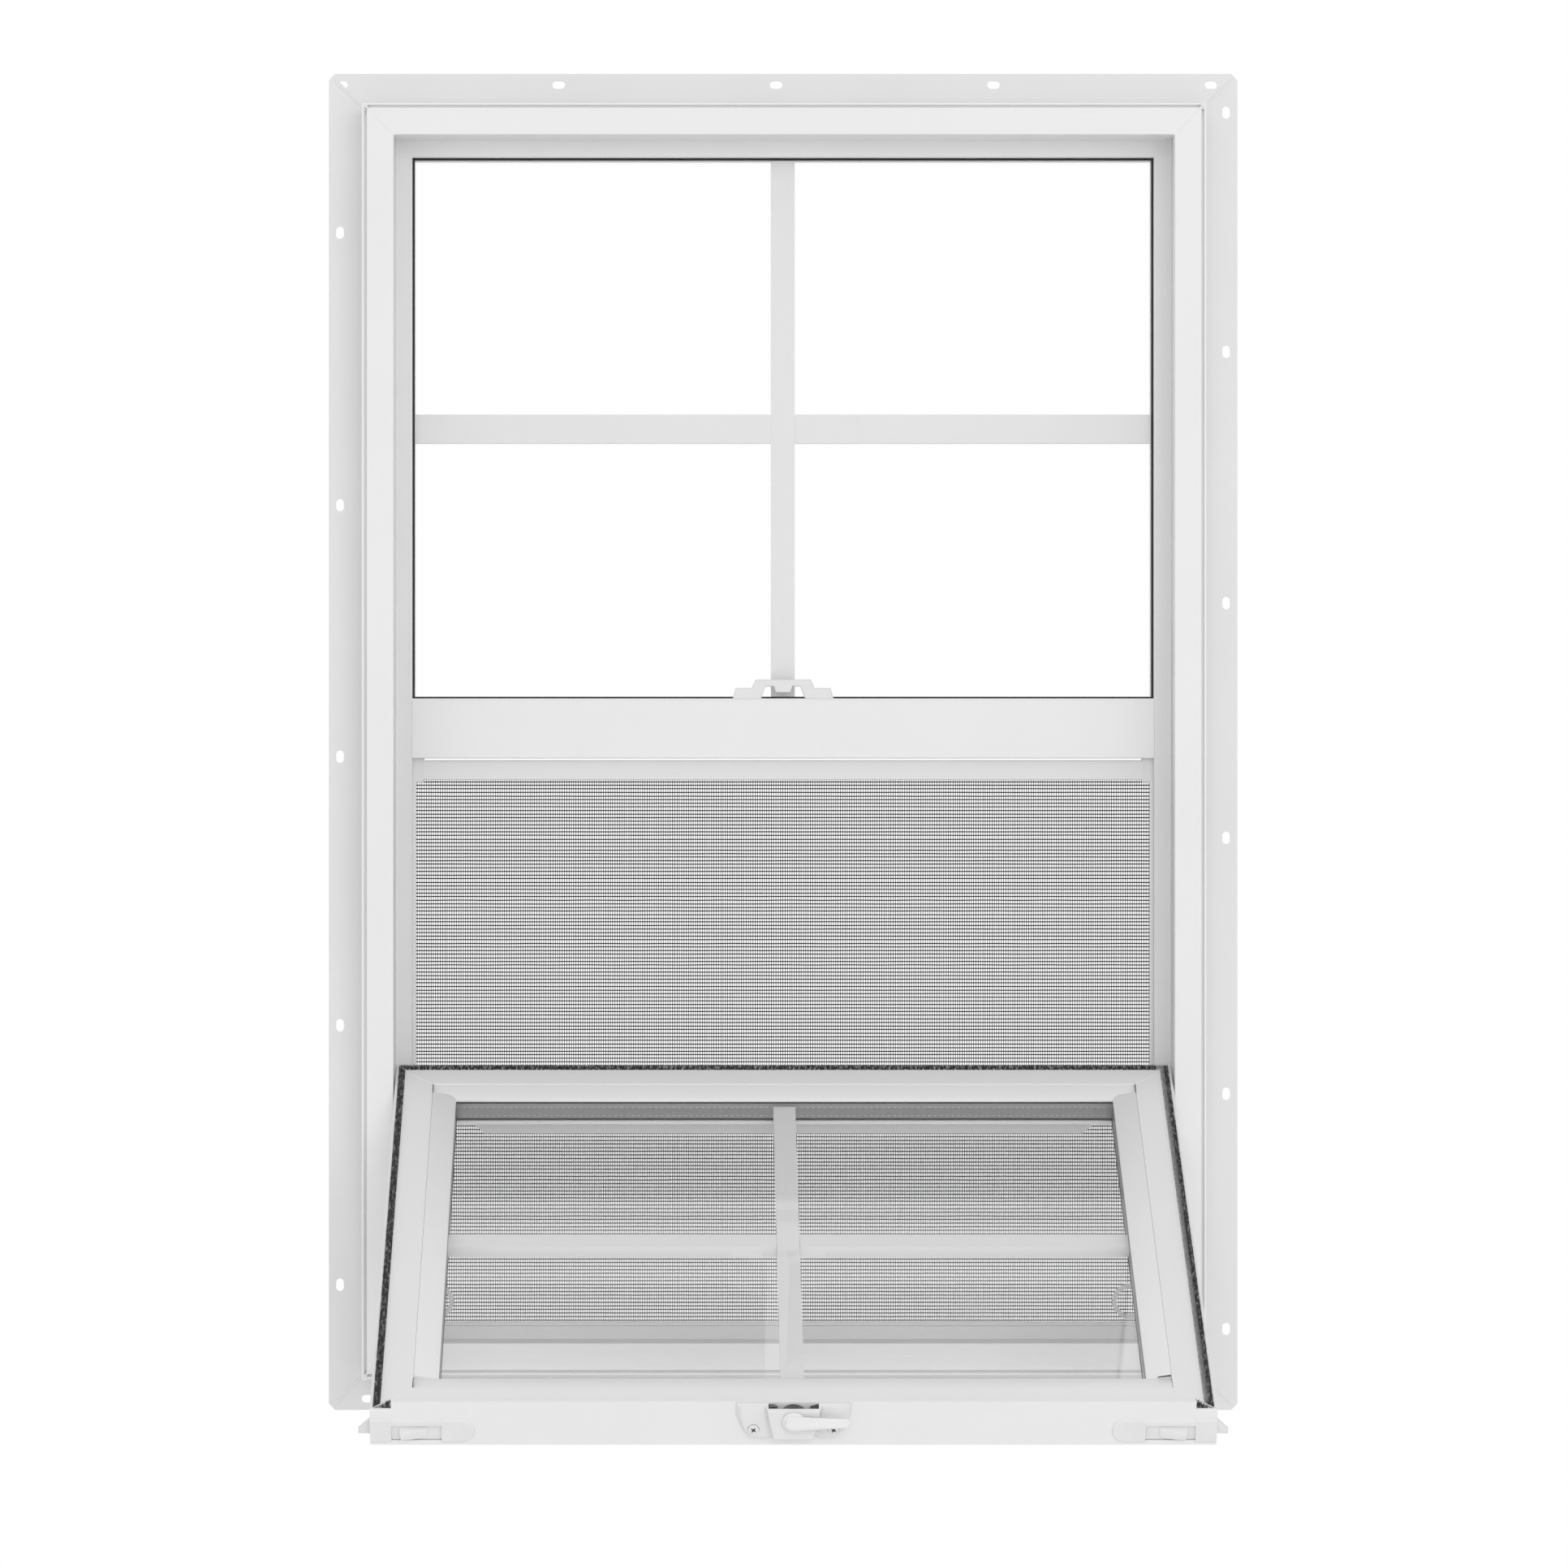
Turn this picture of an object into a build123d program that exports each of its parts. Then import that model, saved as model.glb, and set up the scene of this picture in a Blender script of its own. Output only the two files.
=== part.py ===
"""Single hung window with its lower sash raised and tilted in. Millimetres, Z up.

The origin is on the flat wall face of the nail fin, at mid-width of the bottom fin. X runs to the right
seen from the room, Y from the room to the outdoors.
"""
import os
from math import cos, radians, sin, tan

from build123d import *

# Frame
frame_width = 596.9
frame_height = 901.7
frame_depth = 82.6
room_depth = 44.0
fin_width = 25.4
fin_thickness = 1.6
fin_corner = 4.5
skin = 2.0
edge_round = 0.8
face_width = 22.6
pocket_depth = 43.0
shoulder_width = 11.4
sill_shoulder = 9.0
shoulder_depth = 8.0
rabbet_step = 1.0
groove_inset = 1.7
groove_width = 2.0
groove_depth = 3.0
channel_start = 16.0
channel_width = 20.0
channel_lip = 2.5

# Nail slots in the fin
slot_length = 8.9
slot_width = 5.5
slot_from_edge = 7.9
head_slot_first = -160.0
head_slot_pitch = 155.0
head_slot_count = 4
sill_slot_first = -296.0
sill_slot_pitch = 155.0
sill_slot_count = 4
left_slot_heights = [63.8, 248.8, 440.3, 619.6, 813.9]
right_slot_heights = [32.3, 200.0, 382.4, 549.8, 729.0, 899.6]

# Meeting rail and keeper
rail_bottom = 439.5
rail_height = 42.3
rail_depth = 32.0
rail_bevel_height = 2.3
rail_bevel_depth = 0.8
glass_rebate = 13.8
keeper_half = 35.9
keeper_shelf = 7.5
keeper_step_low = 22.4
keeper_step_high = 19.8
keeper_height = 13.5
keeper_mouth_low = 15.7
keeper_mouth_high = 12.4
keeper_mouth_height = 8.7
keeper_tongue_high = 6.6
keeper_tongue_low = 5.2
keeper_tongue_gap = 4.3
casting_chamfer = 0.6

# Fixed glass
pane = 3.0
air_gap = 12.7
glass_margin = 2.0
spacer_width = 6.5
spacer_show = 1.5
grille_depth = 8.0
upper_bar_width = 17.0
upper_cross_width = 20.5
hairline = 0.3
bead_depth = 9.0
bead_slope = 4.0

# Insect screen
screen_gap = 0.3
screen_depth = 8.0
screen_round = 0.9
screen_margin = 0.5
screen_side_bar = 12.3
screen_top_bar = 14.0
screen_bottom_bar = 10.0
screen_key_width = 18.0
screen_key_drop = 1.6
mesh_thickness = 0.6
mesh_columns = 12
mesh_rows = 9
mesh_strand = 7.0
stop_width = 5.5
stop_depth = 9.0
tab_height = 25.0
tab_reach = 27.0
tab_ring = 3.1
tab_thickness = 1.6
tab_round = 0.5
tab_from_bar = 2.6

# Sash
sash_side_gap = 0.95
sash_over_rail = 2.6
sash_thickness = 27.0
sash_rest = 5.0
sash_skin = 2.0
sash_face = 27.0
sash_sight = 43.7
sash_lip = 3.0
sash_round = 0.6
sash_glass_margin = 2.0
bead_outer_drop = 0.6
bead_inner_drop = 3.4
bead_round = 0.4
sash_bar_width = 15.5
sash_cross_width = 15.5
interlock_height = 6.0
interlock_thickness = 2.0
interlock_cut_back = 13.9
pile_inset = 2.0
pile_width = 4.7
pile_seat = 1.2
pile_height = 3.6
lift_inset = 56.9
lift_reach = 14.3
lift_thickness = 3.0
lift_height = 31.0
lift_hook = 5.0
lift_corner = 6.0

# Place of the sash: pivot, raised height and tilt from closed
pivot_from_room = 25.0
pivot_height = 8.0
sash_raise = 169.6
sash_tilt = 117.4

# Shoes, balances and pivot bars
shoe_height = 44.0
shoe_clearance = 0.3
pivot_bar_width = 11.0
pivot_bar_thickness = 3.2
pivot_bar_length = 46.0
pivot_clearance = 0.2
balance_length = 300.0
balance_width = 13.0
balance_depth = 15.0
balance_skin = 1.0

# Tilt latches
latch_length = 67.0
latch_width = 17.4
latch_height = 1.5
latch_round = 1.0
latch_window_length = 32.6
latch_window_width = 12.2
latch_window_from_end = 15.0
latch_travel = 9.0
button_length = 18.5
button_height = 2.6
bolt_out = 8.0
bolt_width = 12.3
bolt_tip = 3.7
bolt_height = 7.6
bolt_length = 54.0
running_gap = 0.4

# Lock
lock_half_back = 37.0
lock_half_front = 31.0
lock_plate = 3.0
lock_front = 18.4
block_half_back = 19.0
block_half_front = 14.0
block_height = 8.2
block_taper = 10.0
block_overhang = 1.0
lock_window_half = 16.3
cam_room_height = 5.0
cam_thickness = 4.0
cam_reach = 12.0
cam_half = 4.0
cam_tip_inset = 0.9
hub_radius = 7.5
hub_from_face = 4.0
stem_radius = 3.0
stem_clearance = 0.05
lever_gap = 0.4
hub_height = 1.6
lever_thickness = 3.2
arm_radius = 5.8
lever_round = 1.2
lever_reach = 36.0
lever_tip = 1.9
screw_spacing = 52.0
screw_head = 7.4
screw_head_height = 1.4
screw_radius = 1.8
recess_length = 3.8
recess_width = 0.9
recess_depth = 0.9
screw_from_face = 13.2
lock_pad = 0.8

os.makedirs("parts", exist_ok=True)

# Levels and half-widths that several pieces share
base_z = fin_width / 2
top_z = base_z + frame_height
room_y = -room_depth
outdoor_y = room_y + frame_depth
shoulder_y = room_y + pocket_depth
glass_y = shoulder_y + shoulder_depth
unit_depth = 2 * pane + air_gap
rabbet_inset = face_width + rabbet_step
sight_inset = face_width + shoulder_width
half_width = frame_width / 2
pocket_x = half_width - face_width
sight_x = half_width - sight_inset
rabbet_x = half_width - rabbet_inset
head_sight = top_z - sight_inset
head_rabbet = top_z - rabbet_inset
rail_z = base_z + rail_bottom
rail_top = rail_z + rail_height
sill_rabbet = base_z + rabbet_inset
sill_top = base_z + face_width + sill_shoulder


def block(plane, x, y, z):
    """A box between low and high limits along the three directions of a plane."""
    with BuildPart(plane) as piece:
        with Locations(((x[0] + x[1]) / 2, (y[0] + y[1]) / 2, (z[0] + z[1]) / 2)):
            Box(x[1] - x[0], y[1] - y[0], z[1] - z[0])
    return piece.part


def prism(plane, points, low, high, rounding=0):
    """A closed outline on a plane, its corners rounded, extruded between two distances from it."""
    with BuildPart() as piece:
        with BuildSketch(plane.offset(low)) as outline:
            with BuildLine():
                Polyline(*points, close=True)
            make_face()
            if rounding:
                fillet(outline.vertices(), radius=rounding)
        extrude(amount=high - low)
    return piece.part


def ring(outer, inner, y):
    """A rectangular ring in the XZ plane: (left, right, bottom, top) twice, between two depths."""
    with BuildPart() as piece:
        add(block(Plane.XY, outer[0:2], y, outer[2:4]))
        add(block(Plane.XY, inner[0:2], (y[0] - 1, y[1] + 1), inner[2:4]), mode=Mode.SUBTRACT)
    return piece.part


def both(piece, plane=Plane.YZ):
    """A piece and its mirror image as two solids of one node."""
    return Compound(children=[piece, piece.mirror(plane)])


def save(name, *pieces):
    """Write one named node."""
    solids = []
    for piece in pieces:
        solids.extend(piece.solids())
    if len(solids) == 1:
        node = solids[0]
    else:
        node = Compound(children=solids)
    node.label = name
    export_step(node, "parts/" + name + ".step")
    return node


# Frame members: one hollow profile, across by depth, mitred at the corners
def member_outline(shoulder):
    return [
        (0, 0),
        (face_width, 0),
        (face_width, pocket_depth),
        (face_width + shoulder, pocket_depth),
        (face_width + shoulder, pocket_depth + shoulder_depth),
        (rabbet_inset, pocket_depth + shoulder_depth),
        (rabbet_inset, frame_depth),
        (0, frame_depth),
    ]


def member_chambers(shoulder):
    inner = face_width - skin
    groove_end = groove_inset + groove_width + skin
    front = [
        (groove_end, skin),
        (inner, skin),
        (inner, channel_start - skin),
        (skin, channel_start - skin),
        (skin, groove_depth + skin),
        (groove_end, groove_depth + skin),
    ]
    channel = [
        (skin, channel_start),
        (inner, channel_start),
        (inner, channel_start + channel_width),
        (skin, channel_start + channel_width),
    ]
    back = [
        (skin, channel_start + channel_width + skin),
        (inner, channel_start + channel_width + skin),
        (inner, pocket_depth + skin),
        (face_width + shoulder - skin, pocket_depth + skin),
        (face_width + shoulder - skin, pocket_depth + shoulder_depth - skin),
        (inner, pocket_depth + shoulder_depth - skin),
        (inner, frame_depth - skin),
        (skin, frame_depth - skin),
    ]
    return [front, channel, back]


def member(plane, half_length, shoulder, slots, open_channel):
    """A full-length member with its fin, grooves, chambers and nail slots, before the mitres."""
    with BuildPart() as piece:
        add(prism(plane, member_outline(shoulder), -half_length, half_length, edge_round))
        fin = [
            (-fin_width, room_depth),
            (0, room_depth),
            (0, room_depth + fin_thickness),
            (-fin_width, room_depth + fin_thickness),
        ]
        add(prism(plane, fin, -half_length, half_length))
        groove = [
            (groove_inset, -1),
            (groove_inset + groove_width, -1),
            (groove_inset + groove_width, groove_depth),
            (groove_inset, groove_depth),
        ]
        add(prism(plane, groove, -half_length, half_length), mode=Mode.SUBTRACT)
        for chamber in member_chambers(shoulder):
            add(prism(plane, chamber, -half_length, half_length), mode=Mode.SUBTRACT)
        if open_channel:
            low = channel_start + channel_lip
            high = channel_start + channel_width - channel_lip
            add(
                block(plane, (face_width - 2 * skin, face_width + 1), (low, high), (-half_length, half_length)),
                mode=Mode.SUBTRACT,
            )
        for along in slots:
            seat = plane.offset(along)
            with BuildSketch(Plane(seat.origin + seat.y_dir * room_depth, x_dir=seat.z_dir, z_dir=seat.y_dir)):
                with Locations((0, slot_side(plane) * (fin_width - slot_from_edge))):
                    SlotOverall(slot_length, slot_width)
            extrude(amount=fin_thickness, mode=Mode.SUBTRACT)
    return piece.part


def slot_side(plane):
    """Which way outward lies on the fin's slot plane."""
    across = plane.y_dir.cross(plane.z_dir)
    return -across.dot(plane.x_dir)


def wedge(side):
    """The part of the frame's outline that one mitred member keeps."""
    out_x = half_width + fin_width
    low = base_z - fin_width
    high = top_z + fin_width
    reach = fin_width + sight_inset + 10
    cut = fin_corner
    if side == "left":
        points = [(-out_x, low + cut), (-out_x + cut / 2, low + cut / 2), (-out_x + reach, low + reach)]
        points += [(-out_x + reach, high - reach), (-out_x + cut / 2, high - cut / 2), (-out_x, high - cut)]
    elif side == "right":
        points = [(out_x, low + cut), (out_x - cut / 2, low + cut / 2), (out_x - reach, low + reach)]
        points += [(out_x - reach, high - reach), (out_x - cut / 2, high - cut / 2), (out_x, high - cut)]
    elif side == "sill":
        points = [(-out_x + cut, low), (-out_x + cut / 2, low + cut / 2), (-out_x + reach, low + reach)]
        points += [(out_x - reach, low + reach), (out_x - cut / 2, low + cut / 2), (out_x - cut, low)]
    else:
        points = [(-out_x + cut, high), (-out_x + cut / 2, high - cut / 2), (-out_x + reach, high - reach)]
        points += [(out_x - reach, high - reach), (out_x - cut / 2, high - cut / 2), (out_x - cut, high)]
    return prism(Plane.XZ, points, -frame_depth - room_depth, frame_depth + room_depth)


middle_z = (base_z + top_z) / 2
left_plane = Plane(origin=(-half_width, room_y, middle_z), x_dir=(1, 0, 0), z_dir=(0, 0, 1))
right_plane = Plane(origin=(half_width, room_y, middle_z), x_dir=(-1, 0, 0), z_dir=(0, 0, -1))
head_plane = Plane(origin=(0, room_y, top_z), x_dir=(0, 0, -1), z_dir=(1, 0, 0))
sill_plane = Plane(origin=(0, room_y, base_z), x_dir=(0, 0, 1), z_dir=(-1, 0, 0))
half_tall = frame_height / 2 + fin_width
half_wide = half_width + fin_width

left_slots = [base_z + height - middle_z for height in left_slot_heights]
right_slots = [middle_z - base_z - height for height in right_slot_heights]
head_slots = [head_slot_first + i * head_slot_pitch for i in range(-1, head_slot_count)]
sill_slots = [-(sill_slot_first + i * sill_slot_pitch) for i in range(sill_slot_count)]

for name, side, plane, half_length, shoulder, slots, open_channel in [
    ("frame_left_jamb", "left", left_plane, half_tall, shoulder_width, left_slots, True),
    ("frame_right_jamb", "right", right_plane, half_tall, shoulder_width, right_slots, True),
    ("frame_head", "head", head_plane, half_wide, shoulder_width, head_slots, False),
    ("frame_sill", "sill", sill_plane, half_wide, sill_shoulder, sill_slots, False),
]:
    with BuildPart() as piece:
        add(member(plane, half_length, shoulder, slots, open_channel))
        add(wedge(side), mode=Mode.INTERSECT)
    save(name, piece.part)

# Meeting rail: a front wall between the shoulders and a hollow body in the rabbets
with BuildPart() as piece:
    add(block(Plane.XY, (-sight_x, sight_x), (shoulder_y, glass_y), (rail_z, rail_top)))
    add(block(Plane.XY, (-rabbet_x, rabbet_x), (glass_y, shoulder_y + rail_depth), (rail_z, rail_top - glass_rebate)))
    add(
        block(
            Plane.XY,
            (-rabbet_x, rabbet_x),
            (shoulder_y + skin, glass_y - skin),
            (rail_z + skin, rail_top - skin),
        ),
        mode=Mode.SUBTRACT,
    )
    add(
        block(
            Plane.XY,
            (-rabbet_x, rabbet_x),
            (glass_y, shoulder_y + rail_depth - skin),
            (rail_z + skin, rail_top - glass_rebate - skin),
        ),
        mode=Mode.SUBTRACT,
    )
    bevel = [(0, rail_top - rail_bevel_height), (rail_bevel_depth, rail_top), (0, rail_top)]
    across_rail = Plane(origin=(0, shoulder_y, 0), x_dir=(0, 1, 0), z_dir=(1, 0, 0))
    add(prism(across_rail, bevel, -sight_x, sight_x), mode=Mode.SUBTRACT)
save("meeting_rail", piece.part)

# Keeper on the meeting rail, with its mouth and tongue
keeper = [
    (-keeper_half, 0),
    (-keeper_half + 2, keeper_shelf),
    (-keeper_step_low, keeper_shelf),
    (-keeper_step_high, keeper_height),
    (keeper_step_high, keeper_height),
    (keeper_step_low, keeper_shelf),
    (keeper_half - 2, keeper_shelf),
    (keeper_half, 0),
    (keeper_mouth_low, 0),
    (keeper_mouth_high, keeper_mouth_height),
    (keeper_tongue_high, keeper_mouth_height),
    (keeper_tongue_low, keeper_tongue_gap),
    (-keeper_tongue_low, keeper_tongue_gap),
    (-keeper_tongue_high, keeper_mouth_height),
    (-keeper_mouth_high, keeper_mouth_height),
    (-keeper_mouth_low, 0),
]
keeper_plane = Plane(origin=(0, shoulder_y, rail_top), x_dir=(1, 0, 0), z_dir=(0, -1, 0))
with BuildPart() as piece:
    add(prism(keeper_plane, keeper, -shoulder_depth, 0))
    front_edges = piece.faces().sort_by(Axis.Y)[0].edges()
    chamfer(front_edges.filter_by(lambda edge: edge.center().Z > rail_top + 0.1), length=casting_chamfer)
save("keeper", piece.part)

# Fixed glass: two panes, the spacer between them, the bars in the air gap and the outdoor beads
upper_low = rail_top - glass_rebate + glass_margin
upper_high = head_rabbet - glass_margin
upper_x = rabbet_x - glass_margin
upper_panes = []
for depth in [glass_y, glass_y + pane + air_gap]:
    upper_panes.append(block(Plane.XY, (-upper_x, upper_x), (depth, depth + pane), (upper_low, upper_high)))
save("upper_glass", *upper_panes)

gap_y = (glass_y + pane, glass_y + pane + air_gap)
clear_x = sight_x - spacer_show
clear_z = (rail_top + spacer_show, head_sight - spacer_show)
spacer_out = (-clear_x - spacer_width, clear_x + spacer_width, clear_z[0] - spacer_width, clear_z[1] + spacer_width)
save("upper_spacer", ring(spacer_out, (-clear_x, clear_x, clear_z[0], clear_z[1]), gap_y))

gap_mid = (gap_y[0] + gap_y[1]) / 2
grille_y = (gap_mid - grille_depth / 2, gap_mid + grille_depth / 2)
upper_mid = (rail_top + head_sight) / 2
upper_bars = [
    block(Plane.XY, (-upper_bar_width / 2, upper_bar_width / 2), grille_y, clear_z),
]
cross_z = (upper_mid - upper_cross_width / 2, upper_mid + upper_cross_width / 2)
upper_cross = block(Plane.XY, (upper_bar_width / 2 + hairline, clear_x), grille_y, cross_z)
upper_bars.append(both(upper_cross))
save("upper_grille", *upper_bars)

bead_y = glass_y + unit_depth
with BuildPart() as piece:
    outer = (-rabbet_x, rabbet_x, rail_top - glass_rebate, head_rabbet)
    add(ring(outer, (-sight_x, sight_x, rail_top, head_sight), (bead_y, bead_y + bead_depth)))
    inner_edges = piece.edges().filter_by_position(Axis.Y, bead_y + bead_depth - 0.01, bead_y + bead_depth + 0.01)
    inner_edges = inner_edges.filter_by(lambda edge: abs(edge.center().X) < sight_x + 1)
    inner_edges = inner_edges.filter_by(
        lambda edge: rail_top - 1 < edge.center().Z < head_sight + 1
    )
    chamfer(inner_edges, length=bead_slope)
save("upper_beads", piece.part)

# Insect screen: bars, corner keys, the mesh as a plain open grid, stops and two pull tabs
screen_y = (glass_y + screen_gap, glass_y + screen_gap + screen_depth)
screen_x = rabbet_x - screen_margin
screen_sight = screen_x - screen_side_bar
screen_low = sill_rabbet
screen_high = rail_z - screen_key_drop
mesh_low = screen_low + screen_bottom_bar
mesh_high = screen_high - screen_top_bar
key_x = screen_x - screen_key_width
screen_section = Plane(origin=(0, screen_y[0], 0), x_dir=(0, 1, 0), z_dir=(1, 0, 0))


def screen_bar(low, high, half):
    """A level bar of the screen frame with its long edges rolled."""
    points = [(0, low), (screen_depth, low), (screen_depth, high), (0, high)]
    return prism(screen_section, points, -half, half, screen_round)


save("screen_top_bar", screen_bar(mesh_high, screen_high, key_x))
save("screen_bottom_bar", screen_bar(screen_low, mesh_low, screen_x))
save(
    "screen_corner_keys",
    both(block(Plane.XY, (key_x, screen_x), (screen_y[0], screen_y[1]), (mesh_high - screen_key_drop, rail_z))),
)
save(
    "screen_side_bars",
    both(block(Plane.XY, (screen_sight, screen_x), screen_y, (mesh_low, mesh_high - screen_key_drop))),
)
mesh_y = screen_y[0] + screen_depth / 2
with BuildPart() as piece:
    mesh_span = (mesh_y - mesh_thickness / 2, mesh_y + mesh_thickness / 2)
    add(block(Plane.XY, (-screen_sight, screen_sight), mesh_span, (mesh_low, mesh_high)))
    for side in [-1, 1]:
        corner_x = sorted([side * key_x, side * (screen_sight + 1)])
        add(
            block(Plane.XY, corner_x, (screen_y[0] - 1, screen_y[1] + 1), (mesh_high - screen_key_drop, mesh_high + 1)),
            mode=Mode.SUBTRACT,
        )
    column = 2 * screen_sight / mesh_columns
    row = (mesh_high - screen_key_drop - mesh_low) / mesh_rows
    mesh_front = Plane(
        origin=(0, mesh_span[0], (mesh_low + mesh_high - screen_key_drop) / 2), x_dir=(1, 0, 0), z_dir=(0, -1, 0)
    )
    with BuildSketch(mesh_front):
        with GridLocations(column, row, mesh_columns, mesh_rows):
            Rectangle(column - mesh_strand, row - mesh_strand)
    extrude(amount=-mesh_thickness, mode=Mode.SUBTRACT)
save("screen_mesh", piece.part)

stop_y = (screen_y[1] + screen_gap, screen_y[1] + screen_gap + stop_depth)
save(
    "screen_stops",
    both(block(Plane.XY, (rabbet_x - stop_width, rabbet_x), stop_y, (sill_rabbet, rail_z))),
)

tab_low = mesh_low + tab_from_bar
tab_y = screen_y[0] + tab_thickness
with BuildPart() as piece:
    with BuildSketch(Plane(origin=(0, screen_y[0], 0), x_dir=(1, 0, 0), z_dir=(0, 1, 0))):
        with Locations((screen_sight - (tab_reach - tab_height / 2) / 2, -(tab_low + tab_height / 2))):
            Rectangle(tab_reach - tab_height / 2, tab_height)
        with Locations((screen_sight - tab_reach + tab_height / 2, -(tab_low + tab_height / 2))):
            Circle(tab_height / 2)
        with Locations((screen_sight - (tab_reach - tab_height / 2) / 2, -(tab_low + tab_height / 2))):
            Rectangle(
                tab_reach - tab_height / 2 - 2 * tab_ring + 0.1, tab_height - 2 * tab_ring, mode=Mode.SUBTRACT
            )
        with Locations((screen_sight - tab_reach + tab_height / 2, -(tab_low + tab_height / 2))):
            Circle(tab_height / 2 - tab_ring, mode=Mode.SUBTRACT)
    extrude(amount=tab_thickness)
    rims = piece.edges().filter_by(lambda edge: edge.center().X < screen_sight - 0.1)
    rims = rims.filter_by(lambda edge: abs(edge.center().Y - tab_y + tab_thickness / 2) > tab_thickness / 2 - 0.05)
    fillet(rims, radius=tab_round)
save("screen_pull_tabs", both(piece.part))

# Sash planes: along the pivot line, out of the outdoor face and up the sash
tilt = radians(sash_tilt)
up = Vector(0, -sin(tilt), cos(tilt))
out = Vector(0, cos(tilt), sin(tilt))
pivot_z = base_z + face_width + sash_rest + pivot_height + sash_raise
pivot = Vector(0, room_y + pivot_from_room, pivot_z)
sash_base = pivot - up * pivot_height + out * (sash_thickness / 2)
# In this plane x is across, y points indoors from the outdoor face, and z runs down from the sash's bottom edge
sash_plane = Plane(origin=sash_base, x_dir=(1, 0, 0), z_dir=up * -1)
half_sash = pocket_x - sash_side_gap
sash_height = rail_bottom + rail_height + sash_over_rail - face_width - sash_rest
interlock_half = half_sash - interlock_cut_back
lift_half = half_sash - lift_inset


def sash_block(x, t, h):
    """A box on the sash: across, depth from the outdoor face, height from the bottom edge."""
    return block(sash_plane, x, t, (-h[1], -h[0]))


def sash_prism(points, low, high):
    """An outline of (across, depth) points, extruded along the sash's height."""
    return prism(sash_plane, points, -high, -low)


def sash_side_plane(inward, x, h):
    """A plane for a sash member: x_dir inward, y_dir indoors, at a point of the outdoor face."""
    origin = sash_base + Vector(1, 0, 0) * x + up * h
    indoors = out * -1
    return Plane(origin=origin, x_dir=inward, z_dir=inward.cross(indoors))


sash_outline = [
    (0, 0),
    (sash_face, 0),
    (sash_face, sash_thickness - sash_lip),
    (sash_sight, sash_thickness - sash_lip),
    (sash_sight, sash_thickness),
    (0, sash_thickness),
]
sash_chamber = [
    (sash_skin, pile_seat + sash_skin),
    (sash_face - sash_skin, pile_seat + sash_skin),
    (sash_face - sash_skin, sash_thickness - sash_skin),
    (sash_skin, sash_thickness - sash_skin),
]
pile_slot = [
    (pile_inset, -1),
    (pile_inset + pile_width, -1),
    (pile_inset + pile_width, pile_seat),
    (pile_inset, pile_seat),
]


def sash_member(plane, half_length, groove):
    with BuildPart() as piece:
        add(prism(plane, sash_outline, -half_length, half_length, sash_round))
        add(prism(plane, sash_chamber, -half_length, half_length), mode=Mode.SUBTRACT)
        if groove:
            add(prism(plane, pile_slot, -half_length, half_length), mode=Mode.SUBTRACT)
    return piece.part


def sash_wedge(side):
    """The mitred share of one sash member, drawn across by height."""
    reach = sash_sight + 5
    if side == "left":
        points = [(-half_sash, 0), (-half_sash + reach, reach)]
        points += [(-half_sash + reach, sash_height - reach), (-half_sash, sash_height)]
    elif side == "right":
        points = [(half_sash, 0), (half_sash - reach, reach)]
        points += [(half_sash - reach, sash_height - reach), (half_sash, sash_height)]
    elif side == "bottom":
        points = [(-half_sash, 0), (-half_sash + reach, reach), (half_sash - reach, reach), (half_sash, 0)]
    else:
        points = [(-half_sash, sash_height), (-half_sash + reach, sash_height - reach)]
        points += [(half_sash - reach, sash_height - reach), (half_sash, sash_height)]
    face_plane = Plane(origin=sash_base, x_dir=(1, 0, 0), z_dir=out * -1)
    return prism(face_plane, points, -5, sash_thickness + 5)


across = Vector(1, 0, 0)
mid_h = sash_height / 2
top_h = sash_height
latch_low_h = top_h - bolt_height - 2 * running_gap - 1.0
latch_t = (sash_thickness - latch_width, sash_thickness)
bolt_t = (latch_t[0] + 1.0, latch_t[0] + 1.0 + bolt_width)
pocket_x_in = half_sash - bolt_length - 2 * running_gap - latch_travel
latch_pockets = []
for side in [-1, 1]:
    span = sorted([side * (half_sash + 1), side * pocket_x_in])
    room = (bolt_t[0] - running_gap, bolt_t[1] + running_gap)
    latch_pockets.append(sash_block(span, room, (latch_low_h, top_h + 1)))

pivot_holes = []
bar_t = (sash_thickness / 2 - pivot_bar_width / 2, sash_thickness / 2 + pivot_bar_width / 2)
bar_h = (pivot_height - pivot_bar_thickness / 2, pivot_height + pivot_bar_thickness / 2)
shoe_in_x = half_width - skin - shoe_clearance
bar_out_x = shoe_in_x - 3.0
for side in [-1, 1]:
    span = sorted([side * (half_sash + 1), side * (bar_out_x - pivot_bar_length)])
    pivot_holes.append(sash_block(span, bar_t, bar_h))

for name, side, inward, x, h, half_length, groove in [
    ("sash_left_stile", "left", across, -half_sash, mid_h, sash_height / 2, True),
    ("sash_right_stile", "right", across * -1, half_sash, mid_h, sash_height / 2, True),
    ("sash_bottom_rail", "bottom", up, 0, 0, half_sash, True),
    ("sash_top_rail", "top", up * -1, 0, top_h, half_sash, True),
]:
    with BuildPart() as piece:
        add(sash_member(sash_side_plane(inward, x, h), half_length, groove))
        add(sash_wedge(side), mode=Mode.INTERSECT)
        for cut in latch_pockets + pivot_holes:
            add(cut, mode=Mode.SUBTRACT)
    save(name, piece.part)

# Interlock fin at the top of the sash
save(
    "sash_interlock",
    sash_block((-interlock_half, interlock_half), (-interlock_height, 0), (top_h - interlock_thickness, top_h)),
)

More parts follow.
